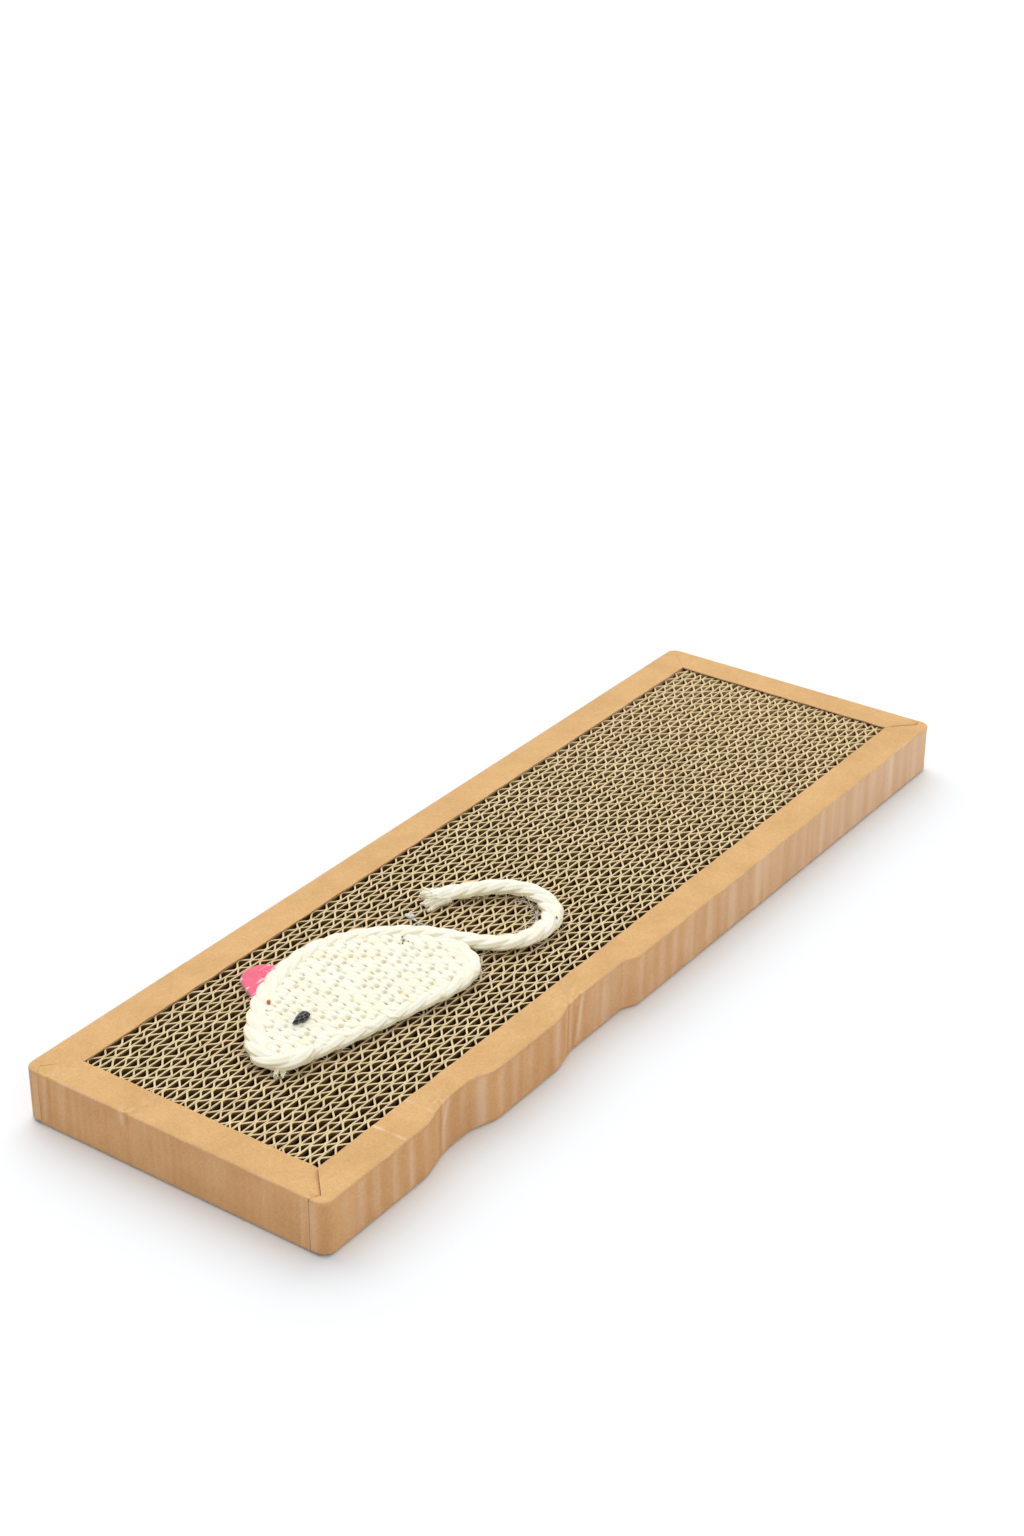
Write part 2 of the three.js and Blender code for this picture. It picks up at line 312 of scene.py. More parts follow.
# Painted light: towards the far end the cells' paper is painted paler.
far_painted_light = remap(x, -10 * mm, 170 * mm, 0.0, 0.85)
deep_paper_painted_shade = blend(far_painted_light, deep_paper_painted_shade, (0.48, 0.32, 0.145))
cell_paper_and_shade = blend(far_painted_light, cell_paper_and_shade, (0.84, 0.63, 0.33))
near_top = remap(z, board_top - 3.2 * mm, board_top - 0.9 * mm)
paper = blend(near_top, deep_paper_painted_shade, cell_paper_and_shade)
paper = blend(remap(facing_up, 0.25, 0.6), paper, cut_edge)
tone = ramp(clouds, (0.3, (0.84, 0.83, 0.80)), (0.7, (1, 1, 1)))
dress(shader, {
    "Base Color": blend(1.0, paper, tone, "MULTIPLY"),
    "Roughness": 0.95, "Specular IOR Level": 0.15,
}, fibres, 0.4, 0.2 * mm)

# %% [markdown]
# ## Corrugated board: one paper on edge
#
# Each strip has five papers: a liner, a tall flute wave, a liner, a short flute wave and a
# liner. Seen from above, every one is a line along the board: straight for a liner, a wave for
# a flute. So one rule makes them all: a line is bent into a wave, and an upright section of
# paper is swept along it. The section is a little thicker at the top, where the knife has
# burred the cut edge.
#
# Where the right wall is dented, the last two strips are squeezed, so the rule also takes the
# depth of the dents at each place. Map Range with a smooth step draws each flank of a dent.

# %% Define the dents and the trees' beginning and end
dents = (
    {"start": 46 * mm, "full": 65 * mm, "ease": 73 * mm, "end": 87 * mm, "depth": 3.5 * mm},
    {"start": 117.4 * mm, "full": 132 * mm, "ease": 160 * mm, "end": 167 * mm,
     "depth": 2.8 * mm},
)


def dent_nodes(x):
    place, depth = x + half_length, 0.0
    for dent in dents:
        rise, fall = (
            remap(place, dent[low], dent[high], 0.0, dent["depth"],
                  interpolation_type="SMOOTHSTEP")
            for low, high in (("start", "full"), ("ease", "end")))
        depth = depth + rise - fall
    return depth


def start_tree(name, labels, takes_lines=True):
    tree = bpy.data.node_groups.new(name, "GeometryNodeTree")
    sockets = [("Geometry", "Geometry")] if takes_lines else []
    sockets += [(label, "Int" if label == "Sides" else "Float") for label in labels]
    for label, kind in sockets:
        tree.interface.new_socket(label, in_out="INPUT", socket_type="NodeSocket" + kind)
    tree.interface.new_socket("Geometry", in_out="OUTPUT", socket_type="NodeSocketGeometry")
    return tree, add(tree, "NodeGroupInput")


def move(geometry, **where):
    return add(tree_of(geometry), "GeometryNodeSetPosition", {"Geometry": geometry, **where})


def finish_tree(geometry, material=None):
    tree = tree_of(geometry)
    if material:
        real = add(tree, "GeometryNodeRealizeInstances", {"Geometry": geometry})
        geometry = add(tree, "GeometryNodeSetMaterial", {"Geometry": real, "Material": material})
    add(tree, "NodeGroupOutput", {0: geometry})
    return tree


# %% Define the node group for one paper
shared_labels = ("Half Length", "Front Line", "Back Line", "Front Dent", "Back Dent", "Low",
                 "High")
wave_sharpness = 0.97
wave_flatness = 1.32
burr_height = 0.6 * mm
burr_share = 0.64
crush_depth = 0.6 * mm


def make_paper_group():
    tree, sizes = start_tree("paper_on_edge", (
        *shared_labels, "Middle", "Wave", "Pitch", "Phase", "Paper", "Seed", "Points"), False)
    half = sizes["Half Length"]
    line = add(tree, "GeometryNodeCurvePrimitiveLine", {
        "Start": combine(tree, half * -1.0), "End": combine(tree, half)})
    line = add(tree, "GeometryNodeResampleCurve", {"Curve": line, "Count": sizes["Points"]})
    x, _, _ = split(add(tree, "GeometryNodeInputPosition"))

    def waver(size, lane):
        return noise(combine(tree, x / size, sizes["Seed"] + lane), 1.0, 1.0) - 0.5

    dent = dent_nodes(x)
    front = dent * sizes["Front Dent"] + sizes["Front Line"]
    back = dent * sizes["Back Dent"] + sizes["Back Line"]
    room = front - back
    middle = room * sizes["Middle"] + back
    slip = waver(9 * mm, 3.7) * (2.6 * mm) + x
    sine = calc("SINE", slip / sizes["Pitch"] * (2 * math.pi) + sizes["Phase"])
    zigzag = calc("ARCSINE", sine * wave_sharpness) * (wave_flatness / math.asin(wave_sharpness))
    zigzag = clamp(zigzag, -1.0)
    swing = room * sizes["Wave"] * zigzag * (waver(6 * mm, 8.1) * 0.3 + 0.97)
    drift = waver(11 * mm, 1.3) * (0.5 * mm)
    line = move(line, Position=combine(tree, x, middle + swing + drift))
    line = add(tree, "GeometryNodeSetCurveNormal", {"Curve": line}, mode="Z_UP")

    thin, burr = sizes["Paper"] * 0.5, sizes["Paper"] * burr_share
    top, foot = sizes["High"] * -1.0, sizes["Low"] * -1.0
    neck = top + burr_height
    corner = add(tree, "GeometryNodeIndexSwitch", data_type="VECTOR")
    for _ in range(4):
        corner.node.index_switch_items.new()
    plug(corner.node.inputs[0], add(tree, "GeometryNodeInputIndex"))
    for number, (width, side, level) in enumerate((
        (burr, -1.0, top), (burr, 1.0, top), (thin, 1.0, neck), (thin, 1.0, foot),
        (thin, -1.0, foot), (thin, -1.0, neck),
    )):
        plug(corner.node.inputs[number + 1], combine(tree, width * side, level))
    section = move(add(tree, "GeometryNodeCurvePrimitiveCircle", {"Resolution": 6}),
                   Position=corner)
    paper = add(tree, "GeometryNodeCurveToMesh", {
        "Curve": line, "Profile Curve": section, "Fill Caps": True})

    x, _, z = split(add(tree, "GeometryNodeInputPosition"))
    ragged = noise(combine(tree, x, sizes["Seed"] * 0.1), 420.0, 2.0)
    is_top = calc("GREATER_THAN", z, sizes["High"] - burr_height / 2)
    return finish_tree(move(paper, Offset=combine(tree, z=ragged * is_top * -crush_depth)))


paper_group = make_paper_group()
print("nodes for one paper:", len(paper_group.nodes))

# %% [markdown]
# ## Corrugated board: a whole strip
#
# A second tree joins the five papers of one strip. Its inputs are the two lines that the strip
# stands between, so the same tree makes the full strips and the squeezed ones. For each paper
# the table gives its middle and half its wave as shares of the strip's room, the wave's pitch
# and phase, the paper's thickness and the number of points along it.

# %% Define the strip tree
tall_pitch = 7.87 * mm
short_pitch = 6.48 * mm
papers = (
    (0.978, 0.0, 1.0, None, 0.26 * mm, 160),
    (0.718, 0.215, tall_pitch, "Tall Phase", 0.52 * mm, 480),
    (0.447, 0.0, 1.0, None, 0.42 * mm, 160),
    (0.228, 0.163, short_pitch, "Short Phase", 0.46 * mm, 580),
    (0.022, 0.0, 1.0, None, 0.26 * mm, 160),
)


def make_strip_tree():
    tree, sizes = start_tree(
        "corrugated_strip", (*shared_labels, "Tall Phase", "Short Phase", "Seed"), False)
    joined = add(tree, "GeometryNodeJoinGeometry")
    for number, (middle, wave, pitch, phase, thickness, points) in enumerate(papers):
        plug(joined.node.inputs[0], add(tree, "GeometryNodeGroup", {
            **{label: sizes[label] for label in shared_labels},
            "Middle": middle, "Wave": wave, "Pitch": pitch, "Paper": thickness,
            "Points": float(points), "Phase": sizes[phase] if phase else 0.0,
            "Seed": sizes["Seed"] + number * 17.3,
        }, node_tree=paper_group))
    return finish_tree(joined, board_material)


strip_tree = make_strip_tree()

# %% [markdown]
# A tree runs as a modifier on an empty mesh, or on a mesh of bare lines. Its inputs are set by
# their identifiers before Blender first evaluates the object, then the result is taken as a
# plain mesh, and the object that carried the modifier is thrown away.
#
# Every finished piece is handed over in the same way: the node of the imported model that it
# stands for, if it has one, is hidden, and the piece rides on the root body.

# %% Define how a tree becomes a piece
def take_result(carrier, name):
    """The mesh that an object's modifiers make. The object itself is thrown away."""
    evaluated = carrier.evaluated_get(bpy.context.evaluated_depsgraph_get())
    mesh = bpy.data.meshes.new_from_object(evaluated)
    mesh.name = name
    bpy.data.objects.remove(carrier)
    return mesh


def grow(name, tree, start=None, **values):
    carrier = put_in_scene(name + "_carrier", start or bpy.data.meshes.new(name))
    modifier = carrier.modifiers.new("Grow", "NODES")
    modifier.node_group = tree
    for item in tree.interface.items_tree:
        label = item.name.lower().replace(" ", "_")
        if item.in_out == "INPUT" and label in values:
            modifier[item.identifier] = values[label]
    return put_in_scene(name, take_result(carrier, name))


def hand_over(piece, node=None):
    if node:
        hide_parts(node)
    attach(piece, "root")
    print(piece.name, "faces:", len(piece.data.polygons))


# %% Make the strips
strip_room = half_width - 0.6 * mm
strip_pitch = 6.1 * mm
strip_gap = 0.02 * mm
end_gap = 0.8 * mm
corner_gap = 4.2 * mm
full_strips = 18
strip_count = 20
last_full_line = strip_room - full_strips * strip_pitch


def strip_line(number):
    """The line's place across the board, and its share of the dents."""
    if number <= full_strips:
        return strip_room - number * strip_pitch, 0.0
    share = (number - full_strips) / (strip_count - full_strips)
    return last_full_line + (-strip_room - last_full_line) * share, share


for number in range(strip_count):
    front, front_dent = strip_line(number)
    back, back_dent = strip_line(number + 1)
    outermost = number in (0, strip_count - 1)
    phase = ((number + 1) * 0.618) % 1
    strip = grow(
        f"board_strip_{number + 1:02d}", strip_tree,
        half_length=half_length - (corner_gap if outermost else end_gap),
        front_line=front - strip_gap / 2, back_line=back + strip_gap / 2,
        front_dent=front_dent, back_dent=back_dent,
        tall_phase=math.pi / 2 - 2 * math.pi * phase,
        short_phase=2 * math.pi * ((number * 0.37) % 1),
        low=1.2 * mm, high=19.12 * mm, seed=number * 3.1,
    )
    hand_over(strip, f"strip_{number + 1:02d}")

# %% [markdown]
# ## Kraft paper: the finish
#
# The frame is smooth orange-brown kraft paper. Close up it has a fine speckle of fibres and a
# few dark specks. The walls are tinted a little pinker than the flanges, as painted shade. On
# the walls, soft upright bands show where the paper is drawn over the board behind it, and
# they are paler towards the far end. Ribs are rubbed paler. The top folds and the lips beside
# the creases are painted paler, partly real rubbing and partly painted highlight. The bottom of
# a crease, the round corners and the ends of the right mitres are painted darker, as painted
# shade. The bands are noise that is stretched along Z, so one pattern runs upright on all four
# walls. The rubbed and shaded places come from a number kept at each point of the mesh: above
# nought is painted pale, below nought is painted dark.
#
# The sheet that closes the underside stays as the imported model has it, and takes this finish.

# %% Make the kraft paper material
kraft_material, tree, shader = start_material("kraft_paper")
spot = on_object(tree)
speckle = noise(spot, 1500, 5.0, 0.72)
clouds = noise(spot, 80, 5.0, 0.6)
upright = noise(on_object(tree, (1, 1, 0.06)), 150, 2.0, 0.55)
x, _, _ = split(spot)
facing_end, _, facing_up = split(add(tree, "ShaderNodeNewGeometry")["Normal"])
on_wall = 1.0 - calc("ABSOLUTE", facing_up)
streaky = on_wall * (calc("ABSOLUTE", facing_end) * -0.62 + 1.0)

kraft = ramp(speckle, (0.28, (0.640, 0.375, 0.150)), (0.72, (0.820, 0.515, 0.235)))
tone = ramp(clouds, (0.36, (0.91, 0.885, 0.85)), (0.62, (1, 1, 1)))
kraft = blend(1.0, kraft, tone, "MULTIPLY")
# Painted shade: the walls are tinted a little pinker than the flanges of the same paper.
kraft = blend(on_wall, kraft, (1.0, 0.92, 0.95), "MULTIPLY")
streaks = remap(upright, 0.50, 0.74, 0.0, 0.42) + remap(x, -60 * mm, 150 * mm, 0.0, 0.46)
kraft = blend(streaks * streaky, kraft, (0.93, 0.69, 0.50))
shade_bands = remap(upright, 0.28, 0.50, 0.30, 0.0)
kraft = blend(shade_bands * streaky, kraft, (0.56, 0.30, 0.13))

rubbed = add(tree, "ShaderNodeAttribute", attribute_name="rubbed")["Fac"]
# Above nought the paper is painted pale: real rubbing, and painted highlight on the folds and
# crease lips. Below nought it is painted dark, as painted shade in crease bottoms, round corners
# and mitre ends.
kraft = blend(clamp(rubbed * (speckle * 1.2 + 0.2)), kraft, (0.90, 0.68, 0.50))
kraft = blend(clamp(rubbed * -1.0), kraft, (0.50, 0.235, 0.09))
specks = add(tree, "ShaderNodeTexVoronoi", {"Vector": spot, "Scale": 260.0})["Distance"]
kraft = blend(calc("LESS_THAN", specks, 0.045) * 0.55, kraft, (0.30, 0.16, 0.07))
dress(shader, {"Base Color": kraft, "Roughness": 0.82, "Specular IOR Level": 0.22},
      speckle, 0.12, 0.1 * mm)
base_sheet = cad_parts["base_sheet"].data
base_sheet.materials.clear()
base_sheet.materials.append(kraft_material)

# %% [markdown]
# ## Kraft paper: the bent sheets
#
# Each wrap is one sheet of paper that comes out of the underside, turns up the wall and turns
# in over the top as a flange. Its folds are small rounds, not knife edges, and the wall shows
# the board's ribs as a faint washboard. The sheet is made as a grid: each column is one cut
# across the paper, and the columns follow the wall in plan, round the corners as well. A
# Solidify modifier then gives the paper its thickness. This keeps the folds, the dents and the
# mitred corners in one unbroken sheet, as in the real one.
#
# The right wall is creased on the near flank of each dent, and the near end has a nick and two
# faint creases. A crease is a narrow groove with a raised lip beside it. It may lean, and may
# start part of the way up. Each is given by its places at the bottom and top of the wall, how
# far up it starts, and its depth.

# %% Define the paper's relief
creases_right = (
    (-131.0 * mm, -130.4 * mm, 0.0, 0.36), (-133.0 * mm, -127.8 * mm, 0.5, 0.30),
    (-62.2 * mm, -61.8 * mm, 0.0, 0.36), (-58.6 * mm, -54.8 * mm, 0.0, 0.38),
)
creases_near = (
    (16.6 * mm, 17.2 * mm, 0.72, 0.45), (50.5 * mm, 49.8 * mm, 0.0, 0.22),
    (43.0 * mm, 41.8 * mm, 0.0, 0.16),
)
scuffs_right = ((-150.9 * mm, 0.9), (-134.6 * mm, 0.45))


def smooth_step(value, low, high):
    share = min(max((value - low) / (high - low), 0.0), 1.0)
    return share * share * (3 - 2 * share)


def bell(distance, width):
    return math.exp(-((distance / width) ** 2))


def uneven(x, y, z, size):
    return noise_at(Vector((x, y, z)) / size)


def dent_depth(x):
    place = x + half_length
    return sum(
        dent["depth"] * (smooth_step(place, dent["start"], dent["full"])
                         - smooth_step(place, dent["ease"], dent["end"]))
        for dent in dents
    )


def crease_at(creases, along, share):
    """How deep the wall is creased at a place, and how pale or dark it is painted there."""
    deep = wear_and_painted_light = 0.0
    for low, high, start, depth in creases:
        place = low + (high - low) * share
        strength = depth * min(max((share - start) * 6 + 0.2, 0.0), 1.0)
        # The groove is painted dark, as painted shade, and the lip beside it pale, partly real
        # rubbing and partly painted highlight.
        groove = bell(along - place, 0.7 * mm)
        lip = bell(along - place - 1.8 * mm, 1.1 * mm)
        deep += strength * mm * (groove - 0.45 * lip)
        wear_and_painted_light += strength * (1.3 * lip - 1.2 * groove)
    return deep, wear_and_painted_light


# %% [markdown]
# A column is described by four places in plan: the wall, the way out of the board, where its
# flange ends and where its flap ends. The flange of a side wrap ends at the window's straight
# edge, then along the mitre from the window's corner. Near the corner it runs on round it,
# under the end wrap, whose flange is cut short there with a small step.

# %% Lay out the columns of a side wrap
mitre_inner = Vector((window_half_length, window_half_width))
mitre_outer = Vector((186.6 * mm, 56.4 * mm))
step_end = Vector((188.6 * mm, 55.2 * mm))
flap_width = 12 * mm
flap_inner = Vector((half_length - flap_width, half_width - flap_width))
flap_outer = Vector((half_length - corner_radius, half_width - corner_radius))
tab_end = half_width - 6 * mm


def even_places(low, high, step):
    count = max(2, round((high - low) / step))
    return [low + (high - low) * i / count for i in range(count + 1)]


def on_cut(amount, start, stop, first, last):
    """A place on the slanted cut from first to last, for an amount from start to stop."""
    return first.lerp(last, (amount - start) / (stop - start))


def side_columns():
    """Columns of the wrap on the +Y side, from its near tab to its far tab."""
    straight = half_length - corner_radius
    xs = set(even_places(-straight, straight, 1.1 * mm))
    marked = [high for _, high, _, _ in creases_right] + [x for x, _ in scuffs_right]
    xs.update(place + 0.4 * mm * i for place in marked for i in range(-5, 6))
    xs.update((-window_half_length, window_half_length))
    half = []
    for x in sorted(xs):
        way = 1 if x > 0 else -1
        edge = Vector((x, window_half_width))
        flap = Vector((min(abs(x), flap_inner.x) * way, flap_inner.y))
        if abs(x) > window_half_length:
            edge = on_cut(abs(x), window_half_length, straight, mitre_inner, mitre_outer)
            edge.x *= way
        if abs(x) > flap_inner.x:
            flap = on_cut(abs(x), flap_inner.x, straight, flap_inner, flap_outer)
            flap.x *= way
        half.append((Vector((x, half_width)), Vector((0, 1)), edge, flap))
    round_corner = []
    for angle in even_places(0, math.pi / 2, math.pi / 16)[1:]:
        out = Vector((math.sin(angle), math.cos(angle)))
        wall = Vector((straight, half_width - corner_radius)) + out * corner_radius
        round_corner.append((wall, out, mitre_outer, None))
    for share in (0.5, 1.0):
        wall = Vector((half_length, half_width - corner_radius)).lerp(
            Vector((half_length, tab_end)), share)
        round_corner.append((wall, Vector((1, 0)), mitre_outer.lerp(step_end, share), None))
    flip = lambda v: Vector((-v.x, v.y)) if v else None
    near = [tuple(flip(v) for v in column) for column in reversed(round_corner)]
    return near + half + round_corner


# %% Lay out the columns of an end wrap
def end_columns():
    """Columns of the wrap at the +X end, across the board. The mitre gapes more at -Y."""
    columns = []
    right_end, left_end = tab_end - 0.3 * mm, tab_end - 0.08 * mm
    flap_start = flap_inner.y - 0.5 * mm
    for y in even_places(-right_end, left_end, 0.9 * mm):
        way, gap, stop = (1, 0.08 * mm, left_end) if y > 0 else (-1, 0.15 * mm, right_end)
        cut_inner = mitre_inner - Vector((0, gap))
        cut_outer = mitre_outer + Vector((0.7 * gap, -gap))
        edge = Vector((window_half_length, y))
        flap = Vector((flap_inner.x, y))
        if abs(y) > cut_inner.y:
            edge = on_cut(abs(y), cut_inner.y, stop, cut_inner, cut_outer)
            edge.y *= way
        if abs(y) > flap_start:
            flap = on_cut(abs(y), flap_start, stop, flap_inner - Vector((0, 0.5 * mm)),
                          flap_outer - Vector((0, 0.6 * mm)))
            flap.y *= way
        columns.append((Vector((half_length, y)), Vector((1, 0)), edge, flap))
    return columns


print("columns of a side wrap:", len(side_columns()), "and of an end wrap:", len(end_columns()))

# %% [markdown]
# One function turns the columns into a sheet. It mirrors them to the right side or end, pushes
# the dents and creases in, and writes down at each point how pale or dark the paper is painted
# there, for real rubbing and for painted light. At the two corners on the right, the mitre's
# end is painted dark, as painted shade, and has a small tear beside it, painted dark as well.

# %% Define a point of the wall
def wall_point(wall, out, along, share, z, pitch, creases):
    """A point of the wall, pressed in between the board's ribs and in the creases."""
    deep, wear_and_painted_light = crease_at(creases, along, share)
    swell = 0.5 - 0.5 * math.cos(
        2 * math.pi * (along + 0.9 * mm * uneven(along, z, 1, 20 * mm)) / pitch)
    push = 0.40 * mm * swell * (0.3 + abs(uneven(along, 0, 2, 16 * mm)))
    push += 0.3 * mm * max(0.0, uneven(along, z * 0.3, 5, 22 * mm))
    spot = wall - out * (push * min(1.0, 7 * share, 7 * (1 - share)) + deep)
    crest = (1 - swell) ** 2 * (0.14 + 0.55 * max(0.0, uneven(along, z * 0.15, 9, 11 * mm)))
    # The round corners are painted darker, as painted shade. The crests' paleness is real rubbing.
    corner = 2 * abs(out.x * out.y)
    crest *= min(1.0, pitch / (6 * mm)) * (1 - corner)
    return spot.x, spot.y, z, wear_and_painted_light + crest - 0.35 * corner


# %% Define a point of the flange
fold_radius = 0.55 * mm
tear = Vector((187.0, -57.0)) * mm, Vector((188.4, -54.2)) * mm


def off_line(spot, start, end):
    """How far a spot lies from the short line between two others."""
    share = (spot - start).dot(end - start) / (end - start).length_squared
    return (spot - start.lerp(end, min(max(share, 0.0), 1.0))).length


def flange_point(wall, edge, out, along, step, creases, scuffs):
    """A point of the flange: nearly flat, crumpled a little where a crease comes up."""
    length = (edge - wall).length
    spot = wall.lerp(edge, (fold_radius + (length - fold_radius) * step) / length)
    straight = smooth_step(length, 11 * mm, 13 * mm)
    spot += out * 0.3 * mm * uneven(along, 40, 3, 8 * mm) * step * straight
    crumpled = sum(bell(along - high, 5 * mm) * depth for _, high, _, depth in creases)
    crumpled *= (1 - step) ** 1.5
    dip = 0.22 * mm * max(0.0, uneven(spot.x, spot.y, 7, 18 * mm)) + 0.04 * mm * step
    dip += 1.7 * mm * crumpled * abs(uneven(spot.x, spot.y * 1.6, 11, 2.6 * mm))
    wear_and_painted_light = 1.6 * crumpled * uneven(spot.x, spot.y * 1.6, 15, 2.2 * mm)
    wear_and_painted_light += sum(strength * bell(along - place, 0.5 * mm) * (0.6 + uneven(along, step, 2, 0.3))
                for place, strength in scuffs)
    # At the right corners the mitre's end and the small tear are painted dark, as painted shade.
    if wall.y < 0:
        torn_painted_shade = bell(off_line(spot, *tear), 0.32 * mm)
        dip += 0.3 * mm * torn_painted_shade
        wear_and_painted_light -= 1.3 * (1 - straight) * smooth_step(step, 0.82, 1.0) + 1.2 * torn_painted_shade
    return spot.x, spot.y, board_top - dip, wear_and_painted_light


# %% Define the points of a column
fold_angles = [math.radians(a) for a in (0, 22.5, 45, 67.5, 90)]
wall_shares = [i / 18 for i in range(1, 18)]
flange_steps = (0.05, 0.12, 0.21, 0.33, 0.47, 0.61, 0.75, 0.88, 1.0)
flap_steps = (1.0, 0.7, 0.4, 0.22)


def column_points(wall, out, edge, flap, along, pitch, creases, scuffs):
    """The points of one column, flap to flange, with its wear and painted light at each."""
    points = []
    if flap is not None:
        spots = [wall.lerp(flap, share) for share in flap_steps]
        points = [(spot.x, spot.y, flap_low, 0.0) for spot in spots]
    low = flap_low + fold_radius
    high = board_top - fold_radius - 0.12 * mm * abs(uneven(along, 8, 8, 9 * mm))
    deep, wear_and_painted_light = crease_at(creases, along, 0.0)
    for angle in (fold_angles[1:] if flap is not None else fold_angles[-1:]):
        spot = wall - out * (fold_radius * (1 - math.sin(angle)) + deep)
        points.append((spot.x, spot.y, low - fold_radius * math.cos(angle), wear_and_painted_light))
    for share in wall_shares:
        z = low + (high - low) * share
        points.append(wall_point(wall, out, along, share, z, pitch, creases))
    toward = (edge - wall).normalized()
    deep, wear_and_painted_light = crease_at(creases, along, 1.0)
    # The top fold is painted paler towards its middle, partly real rubbing and partly painted
    # highlight.
    fold_rub_and_highlight = 0.1 + 0.9 * max(0.0, uneven(along, 3, 1, 7 * mm))
    for angle in fold_angles:
        spot = wall + toward * fold_radius * (1 - math.cos(angle)) - out * deep
        points.append((spot.x, spot.y, high + fold_radius * math.sin(angle) - 0.4 * deep,
                       0.6 * wear_and_painted_light + fold_rub_and_highlight * math.sin(2 * angle)))
    return points + [flange_point(wall, edge, out, along, step, creases, scuffs)
                     for step in flange_steps]


# %% Define how a wrap is made
paper_thickness = 0.4 * mm


def make_wrap(name, columns, across, turn_over, place_column, creases=(), scuffs=()):
    grid = []
    for wall, out, edge, flap in columns:
        along = wall.y if across else wall.x
        pitch = strip_pitch / 2 if across else tall_pitch
        points = column_points(wall, out, edge, flap, along, pitch, creases, scuffs)
        grid.append([place_column(point, wall.x) for point in points])
    vertices, first = [], []
    for points in grid:
        first.append(len(vertices))
        vertices += points
    faces = []
    for here in range(len(grid) - 1):
        rows = min(len(grid[here]), len(grid[here + 1]))
        a = first[here] + len(grid[here]) - rows
        b = first[here + 1] + len(grid[here + 1]) - rows
        for row in range(rows - 1):
            face = (a + row, b + row, b + row + 1, a + row + 1)
            faces.append(face[::-1] if turn_over else face)
    mesh = bpy.data.meshes.new(name)
    mesh.from_pydata([point[:3] for point in vertices], [], faces)
    wear_and_painted_light = mesh.attributes.new("rubbed", "FLOAT", "POINT")
    wear_and_painted_light.data.foreach_set("value", [point[3] for point in vertices])
    mesh.materials.append(kraft_material)
    mesh.shade_smooth()
    flat = put_in_scene(name + "_flat", mesh)
    thicken = flat.modifiers.new("Paper", "SOLIDIFY")
    thicken.thickness = paper_thickness
    thicken.offset = -1
    thicken.use_even_offset = True
    solid = take_result(flat, name)
    solid.set_sharp_from_angle(angle=math.radians(50))
    return put_in_scene(name, solid)


# %% Make the four wraps
def as_laid_out(point, _):
    return point


def at_right(point, x):
    """Mirrored, and moved in: all of the dent at the wall, none at the window's edge."""
    reach_in = (half_width - abs(point[1])) / (half_width - window_half_width)
    dent = dent_depth(x) * (1 - min(max(reach_in, 0.0), 1.0))
    return (point[0], -point[1] + dent, point[2], point[3])


def at_near(point, _):
    return (-point[0], point[1], point[2], point[3])


wraps = (
    make_wrap("left_kraft_wrap", side_columns(), False, True, as_laid_out),
    make_wrap("right_kraft_wrap", side_columns(), False, False, at_right,
              creases_right, scuffs_right),
    make_wrap("near_kraft_wrap", end_columns(), True, True, at_near, creases_near),
    make_wrap("far_kraft_wrap", end_columns(), True, False, as_laid_out),
)
for wrap, node in zip(wraps, ("left_side_wrap", "right_side_wrap", "near_end_wrap",
                              "far_end_wrap")):
    hand_over(wrap, node)

# %% [markdown]
# ## The mouse: the cord's finish
#
# Everything on the mouse but its ear and eye is one natural cream cord. A strand of it is a
# bundle of fine fibres, which show as thin lines that run along the strand with a slight
# twist. Each cord mesh carries its own place numbers: round the strand as a sine and a cosine,
# so that there is no seam, and along it as a length. Noise that is long in the third number
# and fine in the other two draws the fibres. The cord is painted yellower in the grooves
# between its strands and low down by the board, as painted shade, and the yarn below the
# patch's pressed surface is painted yellower and the bottom of a stitch's hole nearly black,
# also as painted shade.

# %% Make the cord material
cord_material, tree, shader = start_material("natural_cord")
strand = add(tree, "ShaderNodeAttribute", attribute_name="strand")["Vector"]
sideways, _, along = split(strand)
twisted = add(tree, "ShaderNodeVectorRotate", {"Vector": strand, "Angle": along * 140.0},
              rotation_type="Z_AXIS")
fibres = noise(add(tree, "ShaderNodeMapping", {"Vector": twisted, "Scale": (11, 11, 120)}),
               1.0, 4.0, 0.65)
patches = noise(on_object(tree), 160, 2.0)
cord = ramp(fibres, (0.25, (0.88, 0.77, 0.47)), (0.39, (0.97, 0.925, 0.745)),
            (0.55, (1.0, 0.975, 0.84)))
tone = ramp(patches, (0.32, (0.99, 0.965, 0.90)), (0.6, (1, 1, 1)))
cord = blend(1.0, cord, tone, "MULTIPLY")
# Painted shade: the grooves between strands, and the cord low down by the board, are painted
# yellower.
groove = remap(calc("ABSOLUTE", sideways), 0.70, 0.99, 0.0, 0.4)
cord = blend(groove, cord, (0.93, 0.80, 0.48))
_, _, height = split(on_object(tree))
cord = blend(remap(height, 21.3 * mm, 19.6 * mm, 0.0, 0.35), cord, (0.96, 0.85, 0.56))
